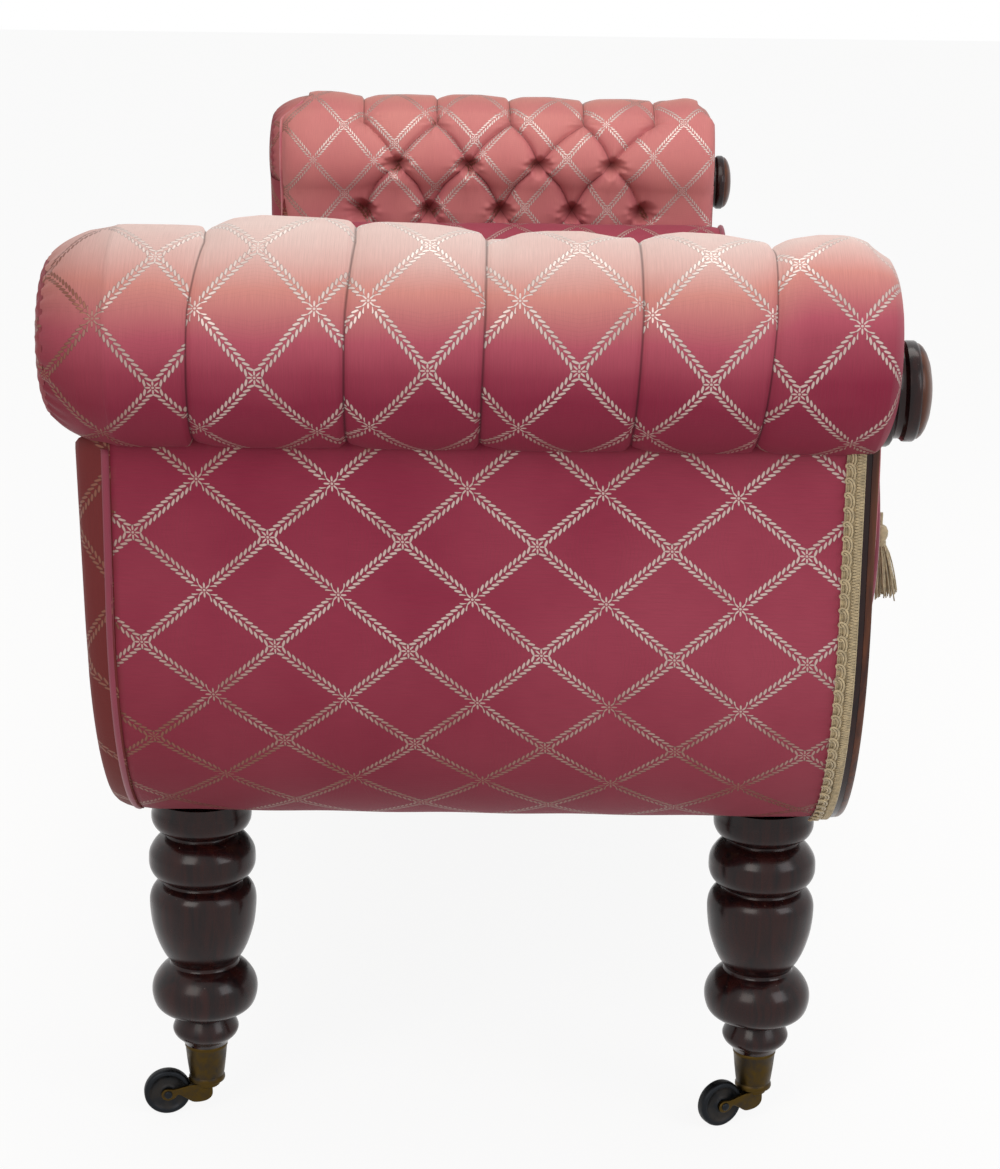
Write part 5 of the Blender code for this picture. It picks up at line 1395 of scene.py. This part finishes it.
class SETTEE_OT_seat(bpy.types.Operator):
    """Make the stuffed seat with its webbing, hessian and dust cover"""

    bl_idname = "settee.seat"
    bl_label = "Seat"

    def execute(self, context):
        sizes, body = context.scene.settee_arm, context.scene.settee_body
        start = along(-1, sizes.foot_inward + 0.3 * MM)
        x = np.linspace(start, -start, 190)
        front, rear = body.front_reach - 0.3 * MM, -body.rear_reach
        bottom = body.bottom + body.rail_height + 0.3 * MM
        edge = body.seat_edge
        bend = body.seat_height - edge
        section = [(front, bottom + (bend - bottom) * k / 6) for k in range(7)]
        wide = front - rear - 2 * edge
        flat = [(front - edge - wide * k / 44, body.seat_height) for k in range(1, 45)]
        for centre, quarter, after in ((front - edge, 0, flat), (rear + edge, 1, [(rear, bottom)])):
            turns = [pi / 2 * (quarter + k / 8) for k in range(1, 9)]
            section += [(centre + edge * cos(a), bend + edge * sin(a)) for a in turns]
            section += after
        section = np.array(section)
        level = np.clip((section[:, 1] - bottom) / (body.seat_height - bottom), 0, 1)
        along_x, over = np.meshgrid(x, np.arange(len(section)))
        facing = along(1, body.foot_inward + 0.6 * MM)
        shoulder = facing - 24 * MM
        crown_x = np.sin(pi * np.clip((along_x + shoulder) / (2 * shoulder), 0, 1)) ** 2
        across = np.clip((section[:, 0] - rear) / (front - rear), 0, 1)
        crown_y = np.clip(1 - (2 * across - 1) ** 2, 0, 1) ** 0.7
        height = section[over, 1] + body.seat_crown * crown_x * crown_y[over] * level[over] ** 4
        forward = ease((facing - abs(along_x)) / (facing - shoulder))
        ahead = np.clip((section[:, 0] - front + 2 * edge) / (2 * edge), 0, 1)
        reach = section[over, 0] + (body.facing - 2 * MM) * forward * ahead[over] ** 2
        # The stuffing settles a little unevenly
        height = height + 1.1 * MM * np.sin(along_x * 9.1 + reach * 7) * crown_x * level[over] ** 4
        points = joined(along_x, -reach, height)
        cloth = joined(run_along(section)[over], along_x)
        fade = 0.25 + 0.25 * crown_x * level[over]
        soil = 0.12 + 0.25 * (1 - level[over])
        cloth_piece("seat_cushion", [plain_patch(points, cloth, fade, soil)], 0.9,
                    "seat_cover", "seat_stuffing")
        under_seat()
        return {"FINISHED"}


def bolster(trim, label, x, z):
    radius = trim.bolster_radius
    count = 120
    turns = np.linspace(0, 2 * pi, 145)
    shares = np.linspace(0, 1, count)
    reach = -trim.bolster_rear + (trim.bolster_rear + trim.bolster_front) * shares
    near = np.minimum(reach + trim.bolster_rear, trim.bolster_front - reach)
    swell = radius * (1 - 0.045 * np.exp(-near / (16 * MM)))
    grid_turn, grid_reach = np.meshgrid(turns, reach)
    body = swell[:, None] * np.ones_like(turns)[None, :]
    # Light drag lines along the cloth, and a flat where the bolster lies on the seat
    body += 0.5 * MM * np.sin(9 * grid_turn + 3 * np.sin(grid_reach * 11))
    body += 0.4 * MM * np.cos(31 * grid_turn) * np.exp(-near / (12 * MM))[:, None]
    down = np.clip(-np.sin(grid_turn), 0.001, 1)
    body = np.minimum(body, (radius * 0.988) / down)
    points = joined(x + body * np.cos(grid_turn), -grid_reach, z + body * np.sin(grid_turn))
    cloth = joined(grid_turn * radius, grid_reach + 20 * MM)
    patches = [plain_patch(points, cloth, 0.16, 0.13)]
    rim = radius * 0.955
    for end, place in ((-1, -trim.bolster_rear), (1, trim.bolster_front)):
        ring = np.linspace(1, 0, 24)[:, None]
        gather = 1.0 * MM * np.cos(30 * turns)[None, :] * ring * (1 - ring) * 4
        dish = 5 * MM * (1 - ring**2) - 4 * MM * np.sqrt(np.maximum(ring * (1 - ring), 0))
        cap_reach = place - end * (dish + gather)
        cap = joined(
            x + rim * ring * np.cos(turns), -cap_reach + 0 * turns, z + rim * ring * np.sin(turns))
        places = joined(rim * ring * np.sin(turns), rim * ring * np.cos(turns))
        patches.append(plain_patch(cap, places, 0.15, 0.35))
    cloth_piece(f"bolster_cover_{label}", patches, 0.9, f"bolster_{label}")
    bm = bmesh.new()
    for place in (-trim.bolster_rear + 1 * MM, trim.bolster_front - 1 * MM):
        ring = [
            (x + (rim + 2 * MM) * cos(a), -place, z + (rim + 2 * MM) * sin(a)) for a in turns[:-1]]
        tube(bm, ring, trim.piping, sides=8, closed=True, up=(0, 1, 0))
    for end, place in ((-1, -trim.bolster_rear), (1, trim.bolster_front)):
        matrix = Matrix.Translation((x, -place + end * 6 * MM, z))
        matrix = matrix @ Matrix.Rotation(end * pi / 2, 4, "X")
        profile = [(12, 0), (12, 5), (10, 9), (5, 11), (0, 11.6)]
        take_in(bm, turned("button", profile, 32, matrix))
    add_piece(f"bolster_seams_{label}", bm, "silk", "damask")


def tassel(trim, end, label, sign):
    """Cord, wrapped head and a loose skirt of strands."""
    x, y, _ = middle_of(f"tassel_{end}_{label}")
    bottom, top = [corner[2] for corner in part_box(f"tassel_{end}_{label}")]
    bm = bmesh.new()
    rng = np.random.default_rng(7 + sign + len(label))
    y -= sign * 1.0 * MM
    tube(bm, [(x, y, top), (x, y, top - 22 * MM)], 2.2 * MM, sides=8, up=(1, 0, 0))
    profile = (
        (2.2, 0), (5.5, -2), (7.2, -6), (7.0, -10), (5.4, -14), (5.8, -15), (5.8, -18), (5.2, -19))
    take_in(bm, turned("head", profile, 24, Matrix.Translation((x, y, top - 10 * MM))))
    start = top - 27 * MM
    for i in range(150):
        turn = 2 * pi * (i * 0.618)
        out = sqrt((i + 0.5) / 150)
        wide = trim.tassel_radius * (0.9 + 0.35 * rng.random()) * out
        short = rng.random() * 7 * MM
        bend = rng.normal(0, 1.2, 2) * MM
        path = []
        for k in range(6):
            t = k / 5
            radius = 5.0 * MM * out * (1 - t) + wide * t**0.8
            path.append((x + radius * cos(turn) + bend[0] * t * t,
                         y + radius * sin(turn) + bend[1] * t * t,
                         start + (bottom + short - start) * t))
        tube(bm, path, 0.55 * MM, sides=4, up=(1, 0, 0))
    add_piece(f"tassel_strands_{end}_{label}", bm, "gold", "gold_gimp", f"tassel_{end}_{label}")


class SETTEE_OT_bolsters(bpy.types.Operator):
    """Make the two loose bolsters with their end seams, buttons and tassels"""

    bl_idname = "settee.bolsters"
    bl_label = "Bolsters"

    def execute(self, context):
        trim = context.scene.settee_trim
        for label in SIDES:
            x, _, z = middle_of(f"bolster_{label}")
            bolster(trim, label, x, z)
            for end, sign in (("front", 1), ("rear", -1)):
                tassel(trim, end, label, sign)
        return {"FINISHED"}


def gimp(sizes, body, trim, label, side):
    line = line_to_roll(sizes, body, 60, 20, -0.3 * MM, 0, 0.3 * MM, 5 * MM)
    measure = run_along(line)
    out = beside(np.gradient(line, axis=0))
    # It laps over the joint between the cloth and the facing
    front = body.front_reach + 3.0 * MM
    bm = bmesh.new()

    def lay(offset, lift, places, radius):
        path = []
        for place, aside, up in zip(places, offset, lift):
            spot = [np.interp(place, measure, line[:, k]) for k in (0, 1)]
            push = [np.interp(place, measure, out[:, k]) for k in (0, 1)]
            path.append(Vector(to_frame(
                side, spot[0] + push[0] * up, front - aside, spot[1] + push[1] * up)))
        tube(bm, path, radius, sides=6, up=(0.9 * side, 0, 0.4))

    cord = trim.braid_cord
    steps = int(measure[-1] / trim.braid_pitch * 40)
    places = np.linspace(1 * MM, measure[-1] - 1 * MM, steps)
    phase = 2 * pi * places / trim.braid_pitch
    width = trim.braid_width
    # A bed of straight cords, ribs across the half beside the wood and a chain of coils
    plain = places[::12]
    for aside in np.arange(1.0 * MM, width - 1.4 * MM, 1.5 * MM):
        lay(np.full(len(plain), aside), np.full(len(plain), 0.1 * cord), plain, 0.9 * cord)
    ribs = 4.1 * MM + 3.1 * MM * np.sin(4.7 * phase)
    lay(ribs, np.full(steps, 1.3 * cord), places, 0.6 * cord)
    middle = width - 4.3 * MM
    for grow, cord_share in ((1.0, 1.0), (0.45, 0.85)):
        coil = middle + 3.5 * MM * grow * np.sin(phase)
        lift = (2.2 + 0.6 * np.cos(phase)) * cord
        lay(coil, lift, places + 4.4 * MM * grow * np.cos(phase), cord_share * cord)
    add_piece(f"gimp_{label}", bm, "gold", "gold_gimp", f"braid_{label}")


def edge_piping(sizes, body, trim, label, side):
    cord = trim.piping
    line = line_to_roll(sizes, body, 60, 20, cord - 0.5 * MM, cord, 0.3 * MM, -0.3 * MM)
    reach = -(body.rear_reach + trim.seam_out + 0.6 * MM + cord)
    path = to_frame(side, line[:, 0], reach, line[:, 1])
    bm = bmesh.new()
    tube(bm, path, cord, sides=12, up=(0, 1, 0))
    add_piece(f"edge_piping_{label}", bm, "silk", "damask", f"piping_{label}")


class SETTEE_OT_trim(bpy.types.Operator):
    """Lay the gimp along the facings and the piping along the rear edges"""

    bl_idname = "settee.trim"
    bl_label = "Gimp and Piping"

    def execute(self, context):
        sizes, body, trim = (
            context.scene.settee_arm, context.scene.settee_body, context.scene.settee_trim)
        for label, side in SIDES.items():
            gimp(sizes, body, trim, label, side)
            edge_piping(sizes, body, trim, label, side)
        return {"FINISHED"}


def facing_line(scene):
    """Outline of the show-wood facing: foot, outer line, scroll and inside sweep."""
    sizes, body = scene.settee_arm, scene.settee_body
    radius = body.scroll_radius
    centre = sizes.height - body.scroll_drop
    first, last = pi + asin(sqrt(1 - (body.panel_outset / radius) ** 2)), radians(-35)
    turns = [first + (last - first) * i / 48 for i in range(49)]
    scroll = [(radius * cos(a), centre + radius * sin(a)) for a in turns]
    leave, foot = scroll[-1], (body.foot_inward, body.bottom + body.rail_height)
    pulls = (
        leave, (leave[0] + 75 * MM * sin(last), leave[1] - 75 * MM * cos(last)),
        (foot[0] - 160 * MM, foot[1] + 13 * MM), foot)
    sweep = [bezier(pulls, i / 30) for i in range(1, 31)]
    return panel_line(body, 27) + scroll + sweep + [(foot[0], body.bottom)]


def drawn_in(outline, distance):
    """The outline drawn in by a distance, with mitred corners."""
    points = np.array(outline)
    before = points - np.roll(points, 1, axis=0)
    after = np.roll(points, -1, axis=0) - points
    area = np.sum(
        points[:, 0] * np.roll(points[:, 1], -1) - np.roll(points[:, 0], -1) * points[:, 1])
    mitre = (beside(before) + beside(after)) * (1 if area > 0 else -1)
    mitre *= 2 * distance / np.maximum(np.sum(mitre**2, axis=1), 0.3)[:, None]
    return points + mitre


def boss(scene, label, side):
    """Black drum and brown dome on the scroll, turned in one."""
    sizes, body = scene.settee_arm, scene.settee_body
    drum = [(43, 0), (43, 6), (42, 8), (40, 9.4), (37.4, 10.6), (36.6, 12), (36.4, 15.5),
            (37.4, 17.4), (38.6, 18.4), (38.9, 20), (38.9, 25.6), (38.2, 27), (37, 28)]
    dome = [(37, 28), (36.6, 29.6), (34.6, 32), (31, 34.4), (25, 36.8), (17, 38.6), (8, 39.5),
            (0, 39.7)]
    front = body.front_reach + body.facing + 0.3 * MM
    place = Matrix.Translation((along(side, 0), -front, sizes.height - body.scroll_drop))
    place = place @ Matrix.Rotation(pi / 2, 4, "X")
    meshes = []
    for index, part in enumerate((drum, dome)):
        mesh = turned("part", part, 96, place, 28)
        for face in mesh.polygons:
            face.material_index = index
        meshes.append(mesh)
    name = f"boss_{label}"
    add_piece(name, join_meshes(name, meshes), "mahogany front", "mahogany",
              f"arm_rosette_{label}", sharp=28)


def front_rail(scene):
    body = scene.settee_body
    low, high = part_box("front_seat_rail")
    front = -low[1]
    top, bottom = body.bottom + body.rail_height, body.bottom
    # The same moulding at both edges: how far back and how far from the edge, in mm
    moulding = ((2, 0), (0.6, 0.8), (0, 2.4), (0, 5), (1.2, 6.4), (2.2, 7), (1.6, 8.4), (1.0, 14))
    section = [(-high[1], bottom)]
    section += [(front - a * MM, bottom + b * MM) for a, b in moulding]
    section += [(front - a * MM, top - b * MM) for a, b in reversed(moulding)]
    section.append((-high[1], top))
    bm = bmesh.new()
    rings = [[bm.verts.new((x, -reach, z)) for reach, z in section]
             for x in np.linspace(low[0], high[0], 30)]
    skin(bm, rings)
    add_piece("front_rail", bm, "front", "mahogany", "front_seat_rail", sharp=30)


class SETTEE_OT_show_wood(bpy.types.Operator):
    """Make the facings, their turned bosses and the front rail"""

    bl_idname = "settee.show_wood"
    bl_label = "Show Wood"

    def execute(self, context):
        scene, body = context.scene, context.scene.settee_body
        outline = facing_line(scene)
        for label, side in SIDES.items():
            near, far = body.front_reach, body.front_reach + body.facing
            # Square edge, then a moulded front: a bead round a slightly sunk field
            profile = (
                (0.0, near), (0.0, near + 7 * MM), (0.6 * MM, near + 7.6 * MM),
                (0.2 * MM, near + 9 * MM), (0.6 * MM, near + 11.2 * MM), (2.0 * MM, far),
                (4.2 * MM, far), (5.6 * MM, far - 1.2 * MM), (6.2 * MM, far - 2.4 * MM),
                (7.4 * MM, far - 1.8 * MM), (12 * MM, far - 0.9 * MM))
            bm = bmesh.new()
            rings = []
            for inset, reach in profile:
                ring = drawn_in(outline, inset)
                spots = to_frame(side, ring[:, 0], reach, ring[:, 1])
                rings.append([bm.verts.new(s) for s in spots])
            faces = skin(bm, rings, capped=False) + [bm.faces.new(rings[-1])]
            bm.faces.new(rings[0])
            # All but its square edge takes the browner front wood
            for face in faces[2 * len(outline):]:
                face.material_index = 1
            add_piece(f"facing_{label}", bm, "mahogany front", "mahogany", f"arm_facing_{label}",
                      sharp=40)
            boss(scene, label, side)
        front_rail(scene)
        return {"FINISHED"}


# Radius and height, as shares of the largest radius and of the turned height, for each
# stretch of the turning between two sharp hollows
LEG_STRETCHES = (
    ((0.41, 0.0), (0.47, 0.018), (0.58, 0.04), (0.625, 0.062), (0.6, 0.082), (0.51, 0.118)),
    ((0.51, 0.118), (0.6, 0.128), (0.62, 0.138)),
    ((0.62, 0.138), (0.8, 0.148), (0.94, 0.176), (1.0, 0.225), (0.96, 0.27), (0.82, 0.312),
     (0.66, 0.335)),
    ((0.66, 0.335), (0.64, 0.345), (0.66, 0.356)),
    ((0.66, 0.356), (0.76, 0.385), (0.87, 0.435), (0.96, 0.5), (1.0, 0.575), (0.985, 0.62),
     (0.9, 0.652), (0.76, 0.668)),
    ((0.76, 0.668), (0.74, 0.676), (0.76, 0.686)),
    ((0.76, 0.686), (0.9, 0.7), (0.985, 0.73), (1.0, 0.765), (0.97, 0.8), (0.84, 0.838),
     (0.68, 0.856)),
    ((0.68, 0.856), (0.66, 0.864), (0.68, 0.873)),
    ((0.68, 0.873), (0.84, 0.886), (0.92, 0.912), (0.935, 0.94), (0.91, 0.966), (0.9, 1.0)),
)


class SETTEE_OT_legs(bpy.types.Operator):
    """Turn the four legs"""

    bl_idname = "settee.legs"
    bl_label = "Legs"

    def execute(self, context):
        leg, body = context.scene.settee_leg, context.scene.settee_body
        base = leg.foot + 0.3 * MM
        tall = body.bottom - 0.3 * MM - base
        profile = [(0.0, base)]
        for stretch in LEG_STRETCHES:
            points = [(leg.radius * r, base + tall * h) for r, h in stretch]
            profile += smooth_path(points, 5)
        profile.append((0.0, body.bottom - 0.3 * MM))
        for end, label in CORNERS:
            x, y, _ = middle_of(f"leg_{end}_{label}")
            turned_piece(
                f"turned_leg_{end}_{label}", profile, leg.sides, Matrix.Translation((x, y, 0)), 32,
                "mahogany", "mahogany", f"leg_{end}_{label}", unit=1)
        return {"FINISHED"}


def castor(scene, corner):
    leg = scene.settee_leg
    x, y, _ = middle_of(f"castor_cup_{corner}")
    lip, base = 1.2, leg.cup_bottom / MM
    foot, top = leg.cup_foot / MM, leg.cup_top / MM
    tall = leg.foot / MM
    profile = [
        (0, base), (foot - 0.6, base), (foot + lip - 0.2, base + 0.6),
        (foot + lip + 0.2, base + 1.6), (foot + lip + 0.1, base + 3.6),
        (foot + lip - 0.4, base + 4.6), (foot + 0.3, base + 5.6), (foot + 0.9, base + 8),
        (foot + 2.4, base + 20), (top - 0.4, tall - 3.4), (top + 0.1, tall - 2.4),
        (top + 0.2, tall - 0.8), (top - 0.3, tall), (top - 1.6, tall), (top - 2.0, tall - 2)]
    spot = Matrix.Translation((x, y, 0))
    turned_piece(f"cup_{corner}", profile, leg.sides, spot, 40,
                 "brass", "aged_brass", f"castor_cup_{corner}")

    # The wheel's centre gives the way that the castor points at rest
    wheel_x, wheel_y, _ = middle_of(f"castor_wheel_{corner}")
    turn = Matrix.Rotation(atan2(wheel_y - y, wheel_x - x) - pi / 2, 4, "Z")
    place = spot @ turn
    axle = place @ Matrix.Translation((0, leg.trail, leg.wheel)) @ Matrix.Rotation(pi / 2, 4, "Y")
    half = leg.wheel_width / 2 / MM
    rim = leg.wheel / MM
    # A narrow wheel with a worn, slightly crowned tread and a dished web
    profile = [
        (0, half - 0.4), (2.0, half - 0.4), (5.6, half - 0.2), (6.6, half - 1.4), (8, half - 2.2),
        (12.5, half - 2.4), (15.2, half - 1.6), (16, half - 0.4), (17.6, half), (19.2, half - 0.4),
        (20.2, half - 1.6), (rim + 0.1, half - 3), (rim + 0.18, 0)]
    profile += [(r, -z) for r, z in reversed(profile[:-1])]
    turned_piece(f"wheel_{corner}_tread", profile, leg.sides, axle, 50,
                 "iron", "dark_iron", f"castor_wheel_{corner}", body=f"wheel_{corner}")

    outer = half + 0.8 + 3.2 + 0.3
    profile = [(2.2, outer), (3.6, outer), (3.4, outer + 0.6), (2.4, outer + 1.3), (0, outer + 1.5)]
    profile = [(r, -z) for r, z in reversed(profile)] + profile
    turned_piece(f"axle_{corner}", profile, 32, axle, 40,
                 "iron", "dark_iron", f"castor_axle_{corner}", body=f"castor_{corner}")
    horn(leg, corner, place, half, rim)


def horn(leg, corner, place, half, rim):
    """Flange and pin under the cup, and two curved arms that hold the axle."""
    top = leg.cup_bottom / MM - 0.3
    profile = [(0, top - 4.5), (10.4, top - 4.5), (11.4, top - 3.6), (11.5, top - 0.8),
               (10.9, top - 0.1), (0, top - 0.1)]
    meshes = [turned("flange", profile, 48, place, 40)]
    trail = leg.trail / MM
    # Side view of an arm: from under the flange, over the wheel's shoulder, to the axle
    upper = smooth_path([(10.6, top - 0.6), (20, top - 2.2), (29, top - 4.0), (37, rim + 4.6),
                         (41, rim + 0.6), (39.4, rim - 4.2), (35, rim - 6)], 5)
    lower = smooth_path([(35, rim - 6), (29.6, rim - 4.2), (26, rim - 1.0), (20, top - 12.6),
                         (12.5, top - 17.2), (2, top - 16.6), (-3.6, top - 12),
                         (-4, top - 4.4)], 5)
    outline = upper + lower[1:] + [(-4.0, top - 1.0), (4.0, top - 0.6)]
    arm = 3.2
    for side in (-1, 1):
        inner = side * (half + 0.8)
        bm = bmesh.new()
        rings = []
        for inset, level in ((0.0, 0.0), (0.0, arm - 0.7), (0.5, arm - 0.15), (1.2, arm)):
            ring = drawn_in(outline, inset)
            rings.append([bm.verts.new(
                place @ Vector(((inner + side * level) * MM, a * MM, b * MM))
            ) for a, b in ring])
        skin(bm, rings)
        meshes.append(mesh_of("arm", bm))
    # Bridge between the arms, in front of the wheel
    bm = bmesh.new()
    clear = rim + 1.2
    arc = []
    for k in range(13):
        a = radians(112 + 56 * k / 12)
        arc.append((trail + clear * cos(a), rim + clear * sin(a)))
    section = [p for p in arc if p[1] < top - 0.6 and p[0] < 14] or arc
    shell = section + [
        (section[-1][0] - 3, section[-1][1] - 0.5), (-3.4, top - 12.5), (-3.6, top - 1.2),
        (section[0][0], top - 1.0)]
    rings = [[bm.verts.new(place @ Vector((s * (half + 1.0) * MM, a * MM, b * MM)))
              for a, b in shell] for s in (-1, 1)]
    skin(bm, rings)
    meshes.append(mesh_of("bridge", bm))
    name = f"horn_{corner}"
    add_piece(name, join_meshes(name, meshes), "brass", "aged_brass",
              f"castor_horn_{corner}", body=f"castor_{corner}", sharp=35)


class SETTEE_OT_castors(bpy.types.Operator):
    """Make the brass cups, the forked horns, the axles and the wheels"""

    bl_idname = "settee.castors"
    bl_label = "Castors"

    def execute(self, context):
        for end, label in CORNERS:
            castor(context.scene, f"{end}_{label}")
        return {"FINISHED"}


class SETTEE_OT_frame_finish(bpy.types.Operator):
    """Finish the frame pieces that stay as they are inside the upholstery"""

    bl_idname = "settee.frame_finish"
    bl_label = "Frame Wood"

    def execute(self, context):
        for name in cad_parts:
            if name.startswith(("rear_seat", "end_rail", "corner_block", "arm_frame", "scroll_r")):
                for slot in bpy.data.objects[name].material_slots:
                    slot.material = materials()["beech"]
        return {"FINISHED"}


def background_rays(add):
    """One for rays that show the background: from the camera, or off metal and glass."""
    rays = add("LightPath").outputs
    seen = add("Math MAXIMUM", rays["Is Camera Ray"], rays["Is Glossy Ray"])
    return add("Math MAXIMUM", seen, rays["Is Transmission Ray"])


def camera_view(look):
    """The camera's place and turn: it looks along the settee from its left end."""
    yaw, pitch, roll = look.yaw, look.pitch, look.roll
    ahead = Vector((cos(yaw) * cos(pitch), -sin(yaw) * cos(pitch), -sin(pitch)))
    right = Vector((-sin(yaw), -cos(yaw), 0))
    up = right.cross(ahead)
    turned_right = cos(roll) * right - sin(roll) * up
    turned_up = sin(roll) * right + cos(roll) * up
    matrix = Matrix((turned_right, turned_up, -ahead)).transposed().to_4x4()
    matrix.translation = (-2.7264, -0.0195, 0.9945)
    return matrix


class SETTEE_OT_stage(bpy.types.Operator):
    """Lay the floor and set the lights, the background and the camera"""

    bl_idname = "settee.stage"
    bl_label = "Stage"

    def execute(self, context):
        scene, look = context.scene, context.scene.settee_stage
        floor, add, spot = new_material("Matt white floor, painted")
        grain = add("TexNoise", Vector=spot, Scale=60.0, Detail=3.0)
        rough = add("MapRange", grain, 0.3, 0.7, 0.82, 0.95)
        shader = add(
            "BsdfPrincipled", Base_Color=look.floor, Roughness=rough, Specular_IOR_Level=0.2)
        # The floor looks white, and only a part of the shadow on it is seen
        seen = add("Math MULTIPLY", background_rays(add), 0.9)
        white = add("Emission", Color=(1, 1, 1, 1), Strength=1.0)
        add("OutputMaterial", add("MixShader", seen, shader, white))
        bm = bmesh.new()
        bmesh.ops.create_grid(bm, x_segments=8, y_segments=8, size=30)
        mesh = bpy.data.meshes.new("floor")
        bm.to_mesh(mesh)
        bm.free()
        mesh.materials.append(floor)
        ground = bpy.data.objects.new("floor", mesh)
        scene.collection.objects.link(ground)
        ground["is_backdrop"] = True

        world = bpy.data.worlds.new("Studio")
        scene.world = world
        world.use_nodes = True
        world.node_tree.nodes.clear()
        add = functools.partial(node, world.node_tree)
        white = add("Background", Color=(1, 1, 1, 1), Strength=1.0)
        soft = add("Background", Color=(1, 1, 1, 1), Strength=0.56)
        add("OutputWorld", add("MixShader", background_rays(add), soft, white))

        for name, spot, target, size, power, tint in (
            ("key", (-4.6, 2.0, 3.4), (-0.6, 0, 0.6), 2.4, look.key, "#FFF8F2"),
            ("top", (-0.25, -0.3, 2.3), (0.85, 0, 0.62), 1.4, look.top, "#FFF9F4"),
            ("fill", (-2.6, -2.8, 2.2), (0.5, 0, 0.6), 1.8, look.fill, "#FBFBFF")):
            data = bpy.data.lights.new(name, "AREA")
            data.energy, data.size, data.color = power, size, linear(tint)
            lamp = bpy.data.objects.new(name, data)
            lamp.location = spot
            aim = Vector(target) - Vector(spot)
            lamp.rotation_euler = aim.to_track_quat("-Z", "Y").to_euler()
            scene.collection.objects.link(lamp)

        data = bpy.data.cameras.new("camera")
        data.lens = look.lens
        camera = bpy.data.objects.new("camera", data)
        scene.collection.objects.link(camera)
        camera.matrix_world = camera_view(look)
        scene.camera = camera
        scene.view_settings.view_transform = "Standard"
        return {"FINISHED"}


STEPS = (
    SETTEE_OT_arm_covers, SETTEE_OT_end_panels, SETTEE_OT_rear, SETTEE_OT_seat,
    SETTEE_OT_bolsters, SETTEE_OT_trim, SETTEE_OT_show_wood, SETTEE_OT_legs,
    SETTEE_OT_castors, SETTEE_OT_frame_finish, SETTEE_OT_stage)


class SETTEE_PT_panel(bpy.types.Panel):
    """Steps that build the settee, in order"""

    bl_idname = "SETTEE_PT_panel"
    bl_label = "Scroll-End Settee"
    bl_space_type = "VIEW_3D"
    bl_region_type = "UI"
    bl_category = "Settee"

    def draw(self, context):
        for step in STEPS:
            self.layout.operator(step.bl_idname)


def register():
    for kind in (*GROUPS.values(), *STEPS, SETTEE_PT_panel):
        bpy.utils.register_class(kind)
    for name, kind in GROUPS.items():
        setattr(bpy.types.Scene, name, PointerProperty(type=kind))


def unregister():
    for name in GROUPS:
        delattr(bpy.types.Scene, name)
    for kind in (SETTEE_PT_panel, *reversed(STEPS), *reversed(GROUPS.values())):
        bpy.utils.unregister_class(kind)


def main():
    register()
    for step in STEPS:
        group, name = step.bl_idname.split(".")
        getattr(getattr(bpy.ops, group), name)()
    boxes = {"cad": CAD_BOX, "visual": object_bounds()}
    boxes = {key: [list(map(float, corner)) for corner in box] for key, box in boxes.items()}


if __name__ == "__main__":
    main()
